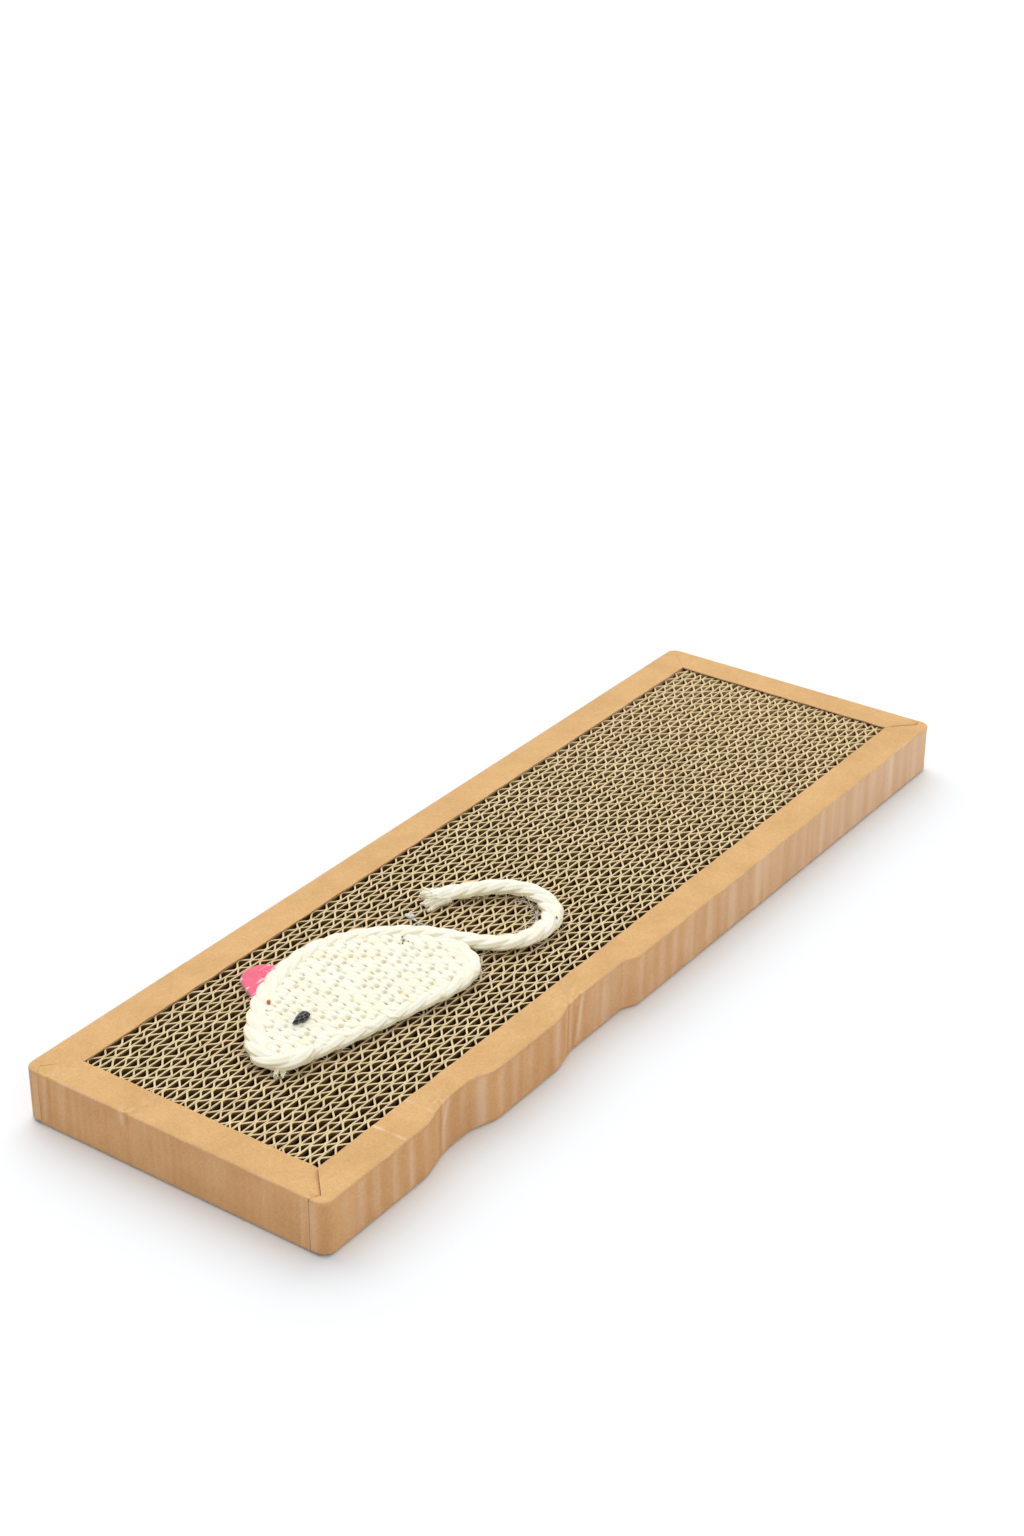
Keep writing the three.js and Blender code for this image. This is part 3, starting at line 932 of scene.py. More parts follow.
# Painted shade: below the patch's pressed surface the yarn is painted yellower, and in a hole
# nearly black.
hollow = add(tree, "ShaderNodeAttribute", attribute_name="hollow")["Fac"]
hollow_painted_shade = ramp(hollow, (0.0, (1, 1, 1)), (0.35, (1.0, 0.94, 0.74)), (0.55, (0.72, 0.60, 0.33)),
            (0.8, (0.09, 0.07, 0.022)))
dress(shader, {
    "Base Color": blend(1.0, cord, hollow_painted_shade, "MULTIPLY"),
    "Roughness": 0.72, "Specular IOR Level": 0.3, "Sheen Weight": 0.25, "Sheen Roughness": 0.5,
    "Subsurface Weight": 0.3, "Subsurface Radius": (1.6 * mm, 1.4 * mm, 0.9 * mm),
}, fibres, 0.35, 0.25 * mm)

# %% [markdown]
# ## The mouse: routes
#
# The cord of the back starts under the nose, runs over the head and back, and goes on round
# the tail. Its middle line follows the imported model's, and is given in millimetres from the
# mouse's own origin. A Catmull-Rom curve passes through every point without a kink, and equal
# steps along it keep the twist even.

# %% Write down the routes
mouse_place = Vector((-98 * mm, 0, 19.2 * mm))
rope_points = (
    (-35.5, -9.8, 1.1), (-40.5, -9.2, 0.9), (-44.6, -6.8, 0.4), (-46.8, -2.6, 0.1),
    (-46.4, 1.4), (-43.2, 6.4), (-37.5, 12), (-29, 18), (-19.5, 23.2),
    (-9, 26.8), (0.5, 28.4), (9.5, 28.4), (18, 26.4), (25.8, 22.2), (32.5, 16.8),
    (38, 10.6), (42, 4), (44.6, -3), (46.8, -10), (50, -17), (54.5, -22.2),
    (60.5, -25.3), (67.5, -26.2), (74, -25), (79.5, -21.6), (83.5, -16.5), (85.6, -10.5),
    (85.3, -4.6), (82.8, 1), (78.5, 6), (72.8, 10.6), (67.8, 14.3), (62.8, 17.7),
)
belly_points = (
    (45, -3), (44.2, -9.5), (42.2, -14.5), (40.2, -19.2), (35.5, -23.4), (29.5, -25.6),
    (23, -26), (15, -25), (5, -22.6), (-6, -20.2), (-20, -17), (-33, -13.4), (-42, -10.8),
    (-44.5, -10.2),
)

# %% Define the curve through a route's points
def through(points, step):
    """Points at equal steps, in millimetres, on a smooth curve through the given points."""
    given = [Vector(p).to_3d() for p in points]
    given = [2 * given[0] - given[1], *given, 2 * given[-1] - given[-2]]
    fine = []
    for a, b, c, d in zip(given, given[1:], given[2:], given[3:]):
        for i in range(24):
            t = i / 24
            fine.append(0.5 * (2 * b + (c - a) * t + (2 * a - 5 * b + 4 * c - d) * t * t
                               + (3 * b - a - 3 * c + d) * t * t * t))
    fine.append(given[-2])
    lengths = [0.0]
    for a, b in zip(fine, fine[1:]):
        lengths.append(lengths[-1] + (b - a).length)
    count = max(2, round(lengths[-1] / step))
    places, at = [], 0
    for i in range(count + 1):
        wanted = lengths[-1] * i / count
        while at < len(fine) - 2 and lengths[at + 1] < wanted:
            at += 1
        share = (wanted - lengths[at]) / max(lengths[at + 1] - lengths[at], 1e-9)
        places.append(fine[at].lerp(fine[at + 1], min(share, 1.0)))
    return places


def line_mesh(name, lines):
    """A mesh of bare lines, from lists of points in millimetres from the mouse's origin."""
    vertices, edges = [], []
    for line in lines:
        first = len(vertices)
        vertices += [mouse_place + Vector(point).to_3d() * mm for point in line]
        edges += [(first + i, first + i + 1) for i in range(len(line) - 1)]
    mesh = bpy.data.meshes.new(name)
    mesh.from_pydata(vertices, edges, [])
    return mesh


rope_line = through(rope_points, 1.0)
rope_length = sum((b - a).length for a, b in zip(rope_line, rope_line[1:]))
print("length of the cord from nose to tail end:", round(rope_length, 1), "mm")

# %% [markdown]
# ## The mouse: a twisted cord
#
# The cord has three strands laid round each other, and lies flattened, 8 mm wide and 4.4 mm
# high. The tree copies the route three times, moves each copy round the route as it runs
# along, and sweeps a strand's section along it. The section has shallow lobes, so that yarns
# show along the strand as real ridges. The strands lie close together where the cord starts
# and open out within 7 mm, and each is thinner at its two ends. They keep clear of the board.

# %% Define how a strand is swept
lobe_depth = 0.075


def store(geometry, name, value, **settings):
    settings = {"data_type": "FLOAT", **settings}
    return add(tree_of(geometry), "GeometryNodeStoreNamedAttribute", {
        "Geometry": geometry, "Name": name, "Value": value}, **settings)


def stored(tree, name, kind="FLOAT"):
    return add(tree, "GeometryNodeInputNamedAttribute", {"Name": name}, data_type=kind)


def sweep_strand(curve, section, scale=1.0):
    """Sweep a section along a curve, and keep the place round and along it on the mesh."""
    tree = tree_of(curve)
    curve = store(curve, "along", add(tree, "GeometryNodeSplineParameter")["Length"])
    sides = add(tree, "GeometryNodeAttributeDomainSize", {0: section}, component="CURVE")
    angle = add(tree, "GeometryNodeInputIndex") / sides * (2 * math.pi)
    section = store(section, "round", combine(tree, calc("COSINE", angle), calc("SINE", angle)),
                    data_type="FLOAT_VECTOR")
    curve = add(tree, "GeometryNodeSetCurveNormal", {"Curve": curve}, mode="Z_UP")
    swept = add(tree, "GeometryNodeCurveToMesh", {
        "Curve": curve, "Profile Curve": section, "Scale": scale, "Fill Caps": True})
    x, y, _ = split(stored(tree, "round", "FLOAT_VECTOR"))
    return store(swept, "strand", combine(tree, x, y, stored(tree, "along")),
                 data_type="FLOAT_VECTOR")


def strand_section(width, height, sides, lobes):
    """A closed oval with shallow lobes. Width and height are half sizes."""
    tree = tree_of(width)
    circle = add(tree, "GeometryNodeCurvePrimitiveCircle", {"Resolution": sides, "Radius": 1.0})
    angle = add(tree, "GeometryNodeInputIndex") * (2 * math.pi / sides)
    lobe = calc("COSINE", angle * lobes) * lobe_depth + 0.94
    return move(circle, Position=combine(tree, calc("COSINE", angle) * width * lobe,
                                         calc("SINE", angle) * height * lobe))


# %% Define the twisted cord tree
opens_within = 7 * mm
ends_share = 1 / 60


def make_twist_tree():
    tree, sizes = start_tree("twisted_cord", (
        "Strands", "Reach", "Rise", "Strand Width", "Strand Height", "Level", "Lay Start",
        "Lay End", "Taper"))
    route = add(tree, "GeometryNodeMeshToCurve", {0: sizes["Geometry"]})
    copies = add(tree, "GeometryNodeDuplicateElements", {
        "Geometry": route, "Amount": sizes["Strands"]}, domain="SPLINE")
    copies = store(copies, "which", copies[1], domain="CURVE")
    spline = add(tree, "GeometryNodeSplineParameter")
    share, length = spline["Factor"], spline["Length"]
    first_rate = 1.0 / sizes["Lay Start"]
    gained = 1.0 / sizes["Lay End"] - first_rate
    rate = gained * (share * 0.5) + first_rate
    turn = (stored(tree, "which") / sizes["Strands"] - length * rate) * (2 * math.pi)
    x, y, _ = split(add(tree, "GeometryNodeInputTangent"))
    left = combine(tree, y * -1.0, x)
    wobble = noise(add(tree, "GeometryNodeInputPosition"), 90.0, 1.0) * 0.3 + 0.85
    opening = calc("MINIMUM", length * (1 / opens_within) + 0.1, 1.0)
    reach = sizes["Reach"] * (wobble * opening) * calc("COSINE", turn)
    rise = sizes["Rise"] * calc("SINE", turn) + sizes["Level"]
    sideways = add(tree, "ShaderNodeVectorMath", {0: left, "Scale": reach}, operation="SCALE")
    offset = add(tree, "ShaderNodeVectorMath", {0: sideways, 1: combine(tree, z=rise)},
                 operation="ADD")
    strands = move(copies, Offset=offset)
    section = strand_section(sizes["Strand Width"], sizes["Strand Height"], 28, 7)
    ends = calc("MINIMUM", share * (1 / ends_share), (1.0 - share) * (1 / ends_share))
    ends = calc("MINIMUM", ends, 1.0)
    cord = sweep_strand(strands, section, 1.0 - (1.0 - ends) * sizes["Taper"])
    return finish_tree(cord, cord_material)


twist_tree = make_twist_tree()

# %% Make the back and tail
back_and_tail = grow(
    "back_and_tail_cord", twist_tree, line_mesh("route", [rope_line]),
    strands=3.0, reach=1.35 * mm, rise=0.72 * mm, strand_width=2.7 * mm,
    strand_height=1.5 * mm, level=2.35 * mm, lay_start=26 * mm, lay_end=20 * mm, taper=0.45,
)
hand_over(back_and_tail, "mouse_tail_rope")

# %% [markdown]
# ## The mouse: the edging of belly and rump
#
# The flat patch is edged with long slanted stitches that look like a thinner twisted cord.
# It starts under the back cord where the tail leaves, runs round the rump and along the belly,
# and ends under the nose. The same tree makes it, with thinner strands. The edging's middle
# lies inside the body's edge by half its width.

# %% Make the edging
def beside(line, distance):
    """The line moved sideways, to its left if the distance is above nought."""
    moved = []
    for i, point in enumerate(line):
        way = (line[min(i + 1, len(line) - 1)] - line[max(i - 1, 0)]).normalized()
        moved.append(point + Vector((-way.y, way.x, 0)) * distance)
    return moved


edging_inset = 3.1
edging_line = beside(through(belly_points, 1.0), -edging_inset)
edging = grow(
    "belly_edging", twist_tree, line_mesh("edging_route", [edging_line]),
    strands=3.0, reach=1.15 * mm, rise=0.5 * mm, strand_width=2.2 * mm,
    strand_height=1.35 * mm, level=2.2 * mm, lay_start=22 * mm, lay_end=27 * mm, taper=0.5,
)
hand_over(edging, "mouse_body")

# %% [markdown]
# ## The mouse: rows of stitches
#
# The patch is crocheted in rows that lean a little across the mouse. In each row one cord makes
# a loop for every stitch, hooked through the row before, so what shows is row on row of V's. A
# single formula draws such a row: for each stitch it swings up and down once, leans sideways
# a little, and comes to the front on both legs of the V. Each row is cut to the room between
# the back cord and the edging.

# %% Work out the rows
row_height = 4.05
stitch_width = 5.1
row_lean = math.radians(12)
row_shift = -1.94
row_start = 1.2
loop_reach = 2.4
loop_close = 0.35
loop_depth = 0.45

room_edge = [*beside(rope_line[14:142], -3.0), *edging_line[4:]]


def in_room(point):
    inside = False
    for a, b in zip(room_edge, room_edge[1:] + room_edge[:1]):
        if (a.y > point.y) != (b.y > point.y):
            if point.x < a.x + (b.x - a.x) * (point.y - a.y) / (b.y - a.y):
                inside = not inside
    return inside


def on_mouse(u, v, z=0.0):
    return Vector((u * math.cos(row_lean) - v * math.sin(row_lean),
                   u * math.sin(row_lean) + v * math.cos(row_lean), z))


def crown(u, v):
    """How much the middle of the patch stands higher than its edge."""
    return 0.5 * (1 - (u / 48) ** 2) * (1 - (v / 30) ** 2)


def row_points(row):
    v = row * row_height + row_start
    steps = 16
    reach = [i for i in range(-16 * steps, 16 * steps)
             if in_room(on_mouse(i * stitch_width / steps, v))]
    points = []
    for i in (range(reach[0], reach[-1] + 1) if reach else ()):
        u = i * stitch_width / steps
        turn = 2 * math.pi * (i / steps) - 2 * math.pi * row * row_shift / stitch_width
        loose = 1 + 0.16 * noise_at(Vector((u * 0.17, v * 0.3, 1)))
        points.append(on_mouse(
            u + loop_close * math.sin(turn) * loose,
            v + loop_reach * math.cos(turn) * loose,
            2.05 + crown(u, v) - loop_depth * math.cos(2 * turn)
            + 0.25 * noise_at(Vector((u * 0.3, v * 0.3, 9))),
        ))
    return points


rows = [points for points in map(row_points, range(-8, 9)) if len(points) > 12]
print("rows of stitches:", len(rows))

# %% [markdown]
# The rows are swept by a simpler tree: it keeps the lines where they are and gives them the
# section of one cord. Real stitches are packed and pressed until their tops make one surface,
# with a small deep hole in some of the V's. So the tops are flattened to a common level, and
# the yarns are pressed down round the holes. How far a point is pressed down, or lies below
# the surface, is kept for the finish, which paints the yarn below the surface yellower and the
# holes nearly black, as painted shade.

# %% Make the crocheted patch
def make_yarn_tree():
    tree, sizes = start_tree("plain_yarn", ("Yarn Radius", "Step"))
    route = add(tree, "GeometryNodeMeshToCurve", {0: sizes["Geometry"]})
    route = add(tree, "GeometryNodeResampleCurve", {
        "Curve": route, "Length": sizes["Step"]}, mode="LENGTH")
    radius = sizes["Yarn Radius"]
    section = strand_section(radius, radius * 0.76, 20, 5)
    scale = noise(add(tree, "GeometryNodeInputPosition"), 260.0, 1.0) * 0.24 + 0.88
    return finish_tree(sweep_strand(route, section, scale), cord_material)


patch = grow(
    "crocheted_patch", make_yarn_tree(), line_mesh("row_routes", rows),
    yarn_radius=1.7 * mm, step=0.355 * mm,
)

# %% Press the patch flat and open its holes
hole_aside, hole_rise = 0.3, 2.0
hole_width = 0.55
pressed_from, pressed_to = 1.0, 3.7
patch_foot = 0.25


def hole_at(spot):
    """How much of the nearest stitch's hole there is at a spot of the patch."""
    row = round((spot.y - row_start - hole_rise) / row_height)
    number = round((spot.x - hole_aside - row * row_shift) / stitch_width)
    seed = Vector((number * 0.73 + 0.31, row * 0.57 + 0.17, 0.4))
    middle = Vector((
        number * stitch_width + row * row_shift + hole_aside + 1.3 * noise_at(seed),
        row * row_height + row_start + hole_rise + 1.0 * noise_at(seed * 1.9)))
    open_share = smooth_step(noise_at(seed * 2.7), -0.12, 0.22)
    return open_share * bell((spot.to_2d() - middle).length, hole_width)


depths = []
for vertex in patch.data.vertices:
    spot = (vertex.co - mouse_place) / mm
    spot.rotate(Matrix.Rotation(-row_lean, 3, "Z"))
    depth = hole_at(spot)
    top = pressed_to + crown(spot.x, spot.y)
    share = max(0.0, min(1.0, (spot.z - pressed_from) / (top - pressed_from)))
    if share > 0:
        spot.z = pressed_from + (top - pressed_from) * (1 - (1 - share) ** 2.1)
    # The finish reads this number as painted shade.
    valley = smooth_step(top - spot.z, 0.25, 1.5)
    level = patch_foot + (spot.z - patch_foot) * (1 - 0.88 * depth)
    vertex.co.z = mouse_place.z + level * mm
    depths.append(max(0.4 * valley, depth))
patch.data.attributes.new("hollow", "FLOAT", "POINT").data.foreach_set("value", depths)
hand_over(patch, "mouse_body")

# %% [markdown]
# ## The mouse: loose fibres
#
# The tail ends in a tuft: the cord is cut there, and its yarns come apart like a brush. Thick
# yarns fill the brush, slim ones split off them, and fine fibres stand out at the tips. A
# smaller tuft sticks out under the nose, where the cord starts. Single hairs stand out all
# along the cord, and a row of them is curled up inside the tail's loop. Each is a thin line
# that bends a little, made from a fixed seed. One small tree sweeps them all with a section of
# few sides that thins towards the tip.

# %% Define the fibre tree and a brush of fibres
def make_fibre_tree(name, material):
    tree, sizes = start_tree(name, ("Fibre Radius", "Thinning", "Sides"))
    route = add(tree, "GeometryNodeMeshToCurve", {0: sizes["Geometry"]})
    circle = add(tree, "GeometryNodeCurvePrimitiveCircle", {
        "Resolution": sizes["Sides"], "Radius": sizes["Fibre Radius"]})
    share = add(tree, "GeometryNodeSplineParameter")["Factor"]
    return finish_tree(sweep_strand(route, circle, 1.0 - share * sizes["Thinning"]), material)


fibre_tree = make_fibre_tree("loose_fibres", cord_material)
chance = random.Random(7)


def brush(root, way, count, width, height, length, spread, droop=(-0.35, 0.2)):
    """Lines that fan out from a root, in millimetres from the mouse's origin."""
    side = Vector((-way.y, way.x, 0))
    lines = []
    for _ in range(count):
        across = chance.uniform(-1, 1)
        start = root - way * chance.uniform(0.5, 4) + side * across * width
        start.z = root.z + height * chance.random() * math.sqrt(1 - 0.8 * across * across)
        reach = length * chance.uniform(0.55, 1.1)
        turn = across * spread * chance.uniform(0.6, 1.3) + chance.gauss(0, 0.1)
        fall = chance.uniform(*droop)
        line = []
        for i in range(7):
            share = i / 6
            point = start + way * reach * share * math.cos(turn * share)
            point += side * (reach * share * math.sin(turn * share) + chance.gauss(0, 0.1) * share)
            point.z = max(0.35, start.z + fall * reach * share)
            line.append(point)
        lines.append(line)
    return lines


# %% Make the tufts
tuft_way = (rope_line[-1] - rope_line[-6]).normalized()
tuft_way.rotate(Matrix.Rotation(-0.22, 3, "Z"))
tuft_root = rope_line[-1] + Vector((0, 0, 1.2))
nose_root = Vector((-48.4, -7.0, 0.5))
nose_way = Vector((-0.79, -0.62, 0)).normalized()
thick = brush(tuft_root - tuft_way * 3.0, tuft_way, 100, 2.8, 2.1, 7.4, 0.46, (-0.22, 0.04))
slim = brush(tuft_root - tuft_way * 2.5, tuft_way, 20, 3.0, 2.4, 6.4, 0.55)
slim += brush(nose_root, nose_way, 60, 1.4, 1.3, 3.2, 0.2)
fine = brush(tuft_root - tuft_way, tuft_way, 45, 3.2, 2.4, 5.8, 0.9)
fine += brush(nose_root, nose_way, 10, 1.4, 1.0, 3.6, 0.8)
for name, lines, radius, thinning, sides, node in (
    ("thick_locks", thick, 0.9 * mm, 0.4, 8, "mouse_tail_rope"),
    ("slim_locks", slim, 0.5 * mm, 0.6, 6, None),
    ("fine_tufts", fine, 0.14 * mm, 0.6, 4, None),
):
    tuft = grow(name, fibre_tree, line_mesh(name + "_routes", lines),
                fibre_radius=radius, thinning=thinning, sides=sides)
    hand_over(tuft, node)

# %% Make the hairs that stand out of the cord
straight_hairs = 260
hairs = []
for _ in range(straight_hairs):
    line, width = (rope_line, 3.9) if chance.random() < 0.7 else (edging_line, 3.0)
    at = chance.randrange(4, len(line) - 4)
    way = (line[at + 1] - line[at - 1]).normalized()
    side = Vector((-way.y, way.x, 0)) * chance.choice((-1, 1))
    start = line[at] + side * width * chance.uniform(0.55, 1.0)
    start.z = chance.uniform(1.2, 3.6)
    turn = chance.uniform(-1.2, 1.2)
    aim = side * math.cos(turn) + way * math.sin(turn)
    length = chance.uniform(1.2, 4.2)
    lift, bend = chance.uniform(-0.3, 0.45), chance.uniform(-0.8, 0.8)
    hair = []
    for i in range(5):
        share = i / 4
        point = start + aim * length * share + way * bend * length * share * share
        point.z = max(0.2, start.z + lift * length * share - 0.35 * length * share * share)
        hair.append(point)
    hairs.append(hair)

loop_inside = ((82.3, -6.9), (81.0, -12.2), (78.0, -16.0), (73.6, -18.6), (66.9, -19.4))
for place in through(loop_inside, 0.6):
    start = place + Vector((chance.gauss(-0.6, 0.8), chance.gauss(0.5, 0.8), 0.5))
    turn, bend = chance.uniform(0, 2 * math.pi), chance.choice((-1, 1)) * chance.uniform(2, 4.5)
    size = chance.uniform(0.25, 0.5)
    hair = [start]
    for i in range(7):
        hair.append(hair[-1] + Vector((math.cos(turn), math.sin(turn), 0.2)) * size)
        turn += bend / 6
    hairs.append(hair)
stray_hairs = grow("stray_hairs", fibre_tree, line_mesh("hair_routes", hairs),
                   fibre_radius=0.08 * mm, thinning=0.6, sides=4)
hand_over(stray_hairs)
print("stray hairs:", len(hairs))

# %% [markdown]
# ## The mouse: the ear
#
# The ear is a leaf of pink felt, pushed under the back cord and a little curled up at its
# edge. Pale streaks run across it. It is built as rings from its middle out to its edge, so that
# the curl and the small dents of the felt can be real, and Solidify gives it its thickness.

# %% Make the felt
felt_material, tree, shader = start_material("pink_felt")
fuzz = noise(on_object(tree), 1500, 4.0, 0.7)
streaks = noise(on_object(tree, (90, 520, 90), -48), 1.0, 2.0, 0.5)
felt = ramp(fuzz, (0.3, (0.82, 0.105, 0.19)), (0.7, (0.95, 0.175, 0.285)))
felt = blend(remap(streaks, 0.57, 0.63) * 0.8, felt, (0.98, 0.66, 0.70))
dress(shader, {
    "Base Color": felt, "Roughness": 0.9, "Sheen Weight": 0.4, "Specular IOR Level": 0.2,
}, fuzz, 0.5, 0.25 * mm)

# %% Lay out the ear's edge
ear_edge = (
    (-0.8, 28.5), (-1.6, 31.2), (-2.3, 33.9), (-4.0, 36.4), (-7.4, 38.0), (-12.4, 38.2),
    (-16.3, 36.8), (-18.6, 33.2), (-20.4, 29.4), (-21.2, 26.0), (-20.5, 23.0), (-15, 25.2),
    (-8, 27.6), (-3.5, 28.2),
)


def nearest(line, point, among):
    return min(among, key=lambda i: (line[i] - point).length)


def closed_through(points, step):
    """Points round a smooth closed curve: the open one, run on past its start."""
    run = through([*points[-2:], *points, *points[:2]], step)
    first, last = Vector(points[0]).to_3d(), Vector(points[-1]).to_3d()
    begin = nearest(run, first, range(len(run) // 2))
    finish = nearest(run, last, range(len(run) // 2, len(run)))
    closing = through([points[-2], points[-1], points[0], points[1]], step)
    ends = [nearest(closing, point, range(len(closing))) for point in (last, first)]
    return run[begin:finish] + closing[ends[0]:ends[1]]


def on_felt(point):
    """The felt lies under the cord at its root and curls up towards its free edge."""
    free = max(0.0, (point.y - 0.35 * point.x - 32.5) / 8)
    level = 0.35 + 0.9 * free * free + 0.22 * noise_at(point * 0.35)
    return mouse_place + Vector((point.x, point.y, level)) * mm


# %% Make the ear
def mesh_of(name, shell, *materials):
    mesh = bpy.data.meshes.new(name)
    shell.to_mesh(mesh)
    shell.free()
    for material in materials:
        mesh.materials.append(material)
    return mesh


ear_ring = closed_through(ear_edge, 0.9)
ear_middle = sum(ear_ring, Vector()) / len(ear_ring)
shell = bmesh.new()
rings = [[shell.verts.new(on_felt(ear_middle.lerp(point, ring / 8))) for point in ear_ring]
         for ring in range(1, 9)]
centre = shell.verts.new(on_felt(ear_middle))
for i in range(len(ear_ring)):
    j = (i + 1) % len(ear_ring)
    shell.faces.new((centre, rings[0][i], rings[0][j]))
    for inner, outer in zip(rings, rings[1:]):
        shell.faces.new((inner[i], outer[i], outer[j], inner[j]))
bmesh.ops.recalc_face_normals(shell, faces=shell.faces)
if sum(face.normal.z for face in shell.faces) < 0:
    bmesh.ops.reverse_faces(shell, faces=shell.faces)
flat_ear = put_in_scene("flat_ear", mesh_of("flat_ear", shell, felt_material))
thicken = flat_ear.modifiers.new("Felt", "SOLIDIFY")
thicken.thickness = 1.1 * mm
thicken.offset = 1
soften = flat_ear.modifiers.new("Soft edge", "BEVEL")
soften.width = 0.35 * mm
soften.segments = 2
soften.angle_limit = math.radians(50)
ear = put_in_scene("felt_ear", take_result(flat_ear, "felt_ear"))
ear.data.shade_smooth()
hand_over(ear, "mouse_ear")

# %% [markdown]
# ## The mouse: the eye
#
# The eye is a dark grey bead, drop-shaped, with flat facets and a point towards the nose. Its
# colour has small pale specks, as painted highlight. It is cut as rings of the same drop at four
# levels, each with its own size. The faces stay flat, and a narrow bevel catches the light on
# the facet edges, which are also painted paler, as painted highlight.

# %% Make the bead's two finishes
bead_material, tree, shader = start_material("dark_bead")
haze = noise(on_object(tree), 900, 4.0, 0.7)
# The pale specks in the bead's colour are painted highlight.
dress(shader, {
    "Base Color": ramp(haze, (0.35, (0.008, 0.008, 0.007)), (0.60, (0.020, 0.020, 0.018)),
                       (0.72, (0.20, 0.20, 0.19))),
    "Specular IOR Level": 0.18,
    "Roughness": ramp(haze, (0.3, (0.28, 0.28, 0.28)), (0.7, (0.55, 0.55, 0.55))),
}, haze, 0.25, 0.1 * mm)

# Painted highlight: the bevelled facet edges are given this paler finish.
edge_highlight_material, tree, shader = start_material("rubbed_bead_edge")
haze = noise(on_object(tree), 900, 4.0, 0.7)
dress(shader, {
    "Base Color": ramp(haze, (0.35, (0.05, 0.052, 0.05)), (0.62, (0.30, 0.30, 0.29))),
    "Roughness": 0.5,
})

# %% Make the bead
drop = ((-4.5, -0.45), (-2.52, -1.44), (-0.36, -1.89), (1.8, -1.89), (3.33, -0.99),
        (3.51, 0.54), (2.52, 1.71), (0.54, 1.8), (-2.16, 0.81))
levels = ((0.0, 0.85, 0.0), (0.7, 1.0, 0.0), (1.6, 0.80, 0.18), (2.1, 0.42, 0.54))
eye_place = mouse_place + Vector((-25.3, 3.3, 4.2)) * mm
eye_turn = Matrix.Rotation(math.radians(-6), 3, "Z")
stone = bmesh.new()
rings = [[stone.verts.new(
    eye_place + eye_turn @ Vector((x * size + shift, y * size, level)) * mm) for x, y in drop]
    for level, size, shift in levels]
for lower, upper in zip(rings, rings[1:]):
    for i in range(len(drop)):
        j = (i + 1) % len(drop)
        stone.faces.new((lower[i], lower[j], upper[j], upper[i]))
stone.faces.new(list(reversed(rings[0])))
stone.faces.new(rings[-1])
bmesh.ops.recalc_face_normals(stone, faces=stone.faces)
bmesh.ops.bevel(stone, geom=stone.edges[:], offset=0.09 * mm, segments=1, affect="EDGES",
                material=1)
bead = put_in_scene("bead_eye", mesh_of("bead_eye", stone, bead_material, edge_highlight_material))
hand_over(bead, "mouse_eye")

# %% [markdown]
# ## The mouse: glue
#
# The mouse is stuck down with hot-melt glue. A bead of it has squeezed out between the back
# and the tail, a thin film lies inside the tail's loop, and a dab shows at the nose. Fine
# strings are drawn out between them. Set glue is milky and half clear. Each lump is a small
# sphere, flattened and made uneven, so that it is closed all round. A lump is given by its
# place, its reach to each side and its turn.

# %% Make the glue
glue_material, tree, shader = start_material("hot_glue")
cloudy = noise(on_object(tree), 420, 3.0, 0.6)
dress(shader, {
    "Base Color": ramp(cloudy, (0.35, (0.76, 0.75, 0.72)), (0.65, (0.93, 0.92, 0.89))),
    "Roughness": ramp(cloudy, (0.3, (0.12, 0.12, 0.12)), (0.7, (0.42, 0.42, 0.42))),
    "Transmission Weight": 0.45, "IOR": 1.47,
}, cloudy, 0.3, 0.2 * mm)


def make_lumps(name, material, lumps):
    shell = bmesh.new()
    for place, reach, turn in lumps:
        swing = Matrix.Rotation(math.radians(turn), 3, "Z")
        for vertex in bmesh.ops.create_icosphere(shell, subdivisions=3, radius=1.0)["verts"]:
            point = vertex.co * (1 + 0.45 * noise_at(vertex.co * 1.4 + Vector(place)))
            point = swing @ Vector((point.x * reach[0], point.y * reach[1], point.z * reach[2]))
            vertex.co = mouse_place + (Vector(place) + point) * mm
    return put_in_scene(name, mesh_of(name, shell, material))


squeezed_bead = make_lumps("squeezed_glue", glue_material, (
    ((50.9, 18.2, 0.2), (1.3, 1.7, 0.36), 20), ((49.9, 15.2, 0.1), (0.4, 1.3, 0.22), -10),
    ((49.0, 12.0, 0.1), (0.3, 1.2, 0.2), 5),
))
glue_film = make_lumps("glue_film", glue_material, (
    ((82.0, -8.2, 0.1), (0.5, 1.3, 0.15), 12), ((80.9, -12.2, 0.1), (0.5, 1.4, 0.15), -14),
    ((78.2, -16.2, 0.1), (0.5, 1.3, 0.15), -40), ((73.6, -19.2, 0.1), (1.3, 0.5, 0.15), 15),
    ((68.6, -20.0, 0.1), (1.1, 0.45, 0.14), 5), ((-48.4, -8.0, 0.2), (0.8, 0.6, 0.3), 30),
))
for lumps, node in ((squeezed_bead, "glue_bead"), (glue_film, None)):
    lumps.data.shade_smooth()
    hand_over(lumps, node)

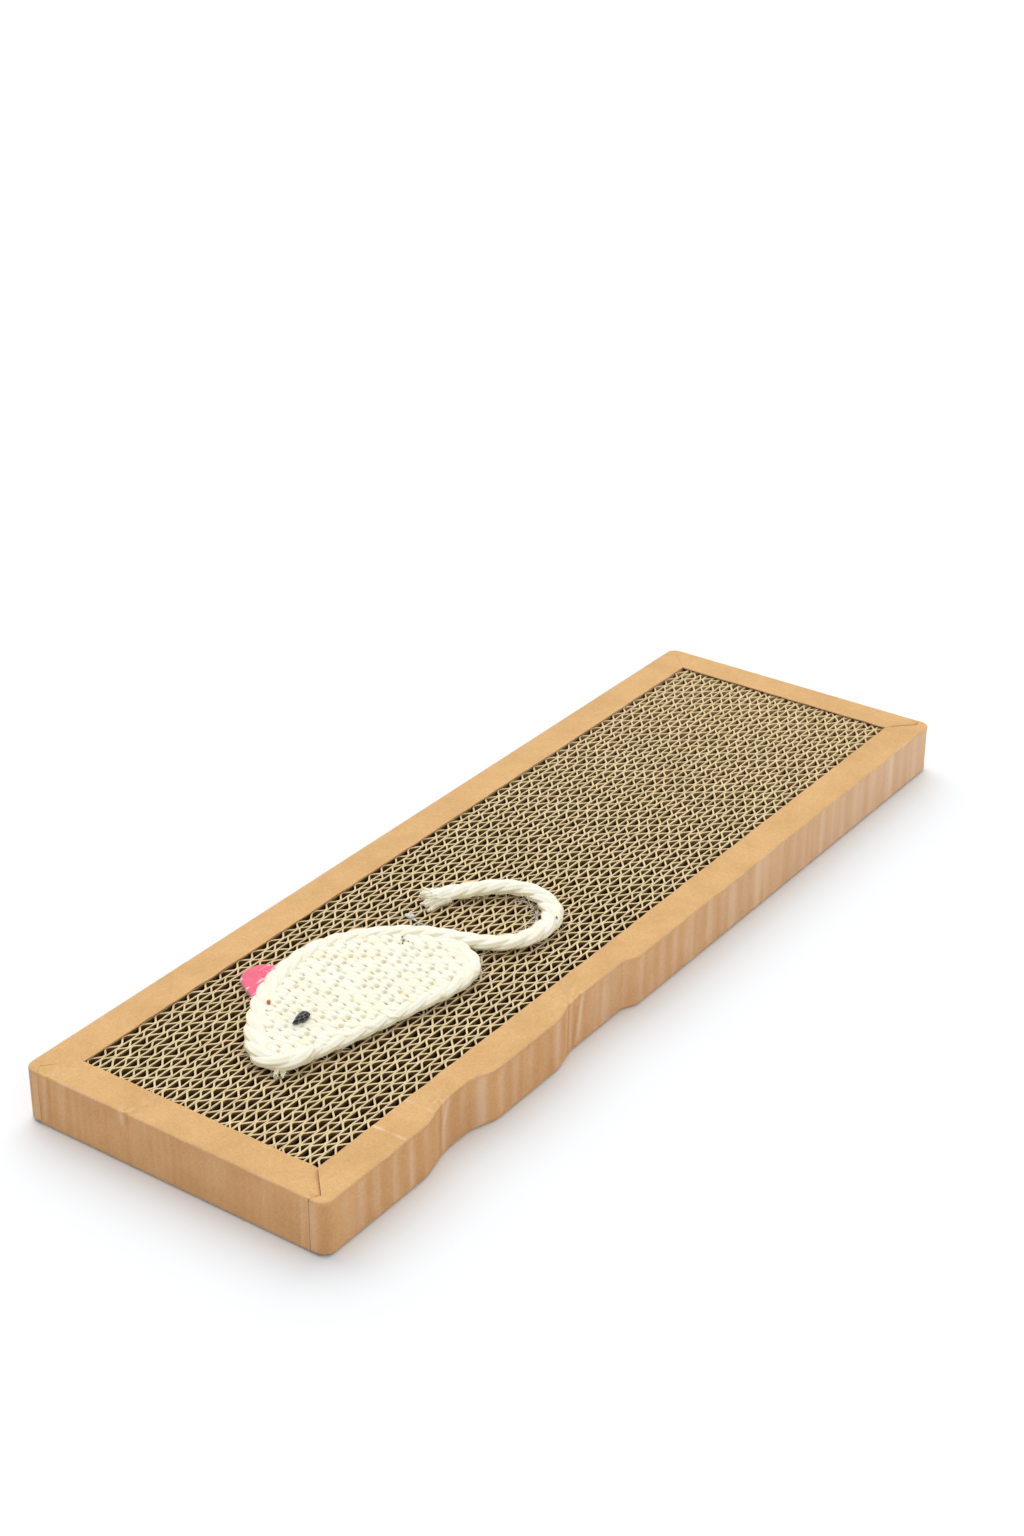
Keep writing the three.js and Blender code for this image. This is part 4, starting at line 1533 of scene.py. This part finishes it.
# %% Make the glue's strings
strings = []
for a, b, rise in (
    ((50.5, 17.5), (54.5, 23.5), 0.9), ((50, 12), (45, 17), 0.5), ((49, 10), (46.5, 6.5), 1.2),
    ((51, 18), (47.5, 24.0), 0.4), ((52, 16), (57.5, 17.5), 0.6), ((80.5, -12), (74, -16), 0.5),
    ((81, -9), (77.5, -6), 0.6), ((74.5, -17.5), (79, -11), 0.7),
):
    a, b = Vector((*a, 0.3)), Vector((*b, 0.3))
    bow = Vector((a.y - b.y, b.x - a.x, 0)) * chance.uniform(-0.25, 0.25)
    strings.append([a.lerp(b, i / 8) + (bow + Vector((0, 0, rise))) * math.sin(math.pi * i / 8)
                    for i in range(9)])
glue_strings = grow("glue_strings", make_fibre_tree("glue_strings", glue_material),
                    line_mesh("string_routes", strings),
                    fibre_radius=0.1 * mm, thinning=0.5, sides=5)
hand_over(glue_strings)

# %% [markdown]
# ## The mouse: flecks of husk
#
# Natural cord carries small brown flecks of the plant's husk. The real mouse has a rusty one on
# its head, one on the tail, and a little dark grit on its back. Each is an uneven flake, and
# the largest is about 2 mm long.

# %% Make the flecks
husk_material, tree, shader = start_material("husk")
grain = noise(on_object(tree), 1500, 2.0, 0.5)
dark_husk = ramp(grain, (0.35, (0.09, 0.055, 0.03)), (0.65, (0.24, 0.14, 0.06)))
rusty_husk = ramp(grain, (0.35, (0.34, 0.09, 0.02)), (0.65, (0.62, 0.20, 0.05)))
x, _, _ = split(on_object(tree))
at_head = calc("LESS_THAN", x, -115 * mm)
dress(shader, {"Base Color": blend(at_head, dark_husk, rusty_husk), "Roughness": 0.8})
flecks = make_lumps("husk_flecks", husk_material, (
    ((-23.6, 18.2, 4.2), (0.6, 1.15, 0.5), -52), ((74.2, -27.2, 4.1), (0.3, 0.55, 0.3), -20),
    ((31.7, 6.0, 4.2), (0.4, 0.3, 0.3), 0), ((33.2, 7.6, 4.3), (0.3, 0.35, 0.3), 40),
    ((30.2, 5.2, 4.1), (0.25, 0.3, 0.25), 10), ((32.4, 4.6, 4.0), (0.3, 0.25, 0.25), 70),
    ((-27.4, 16.5, 3.8), (0.25, 0.4, 0.2), 15),
))
hand_over(flecks)
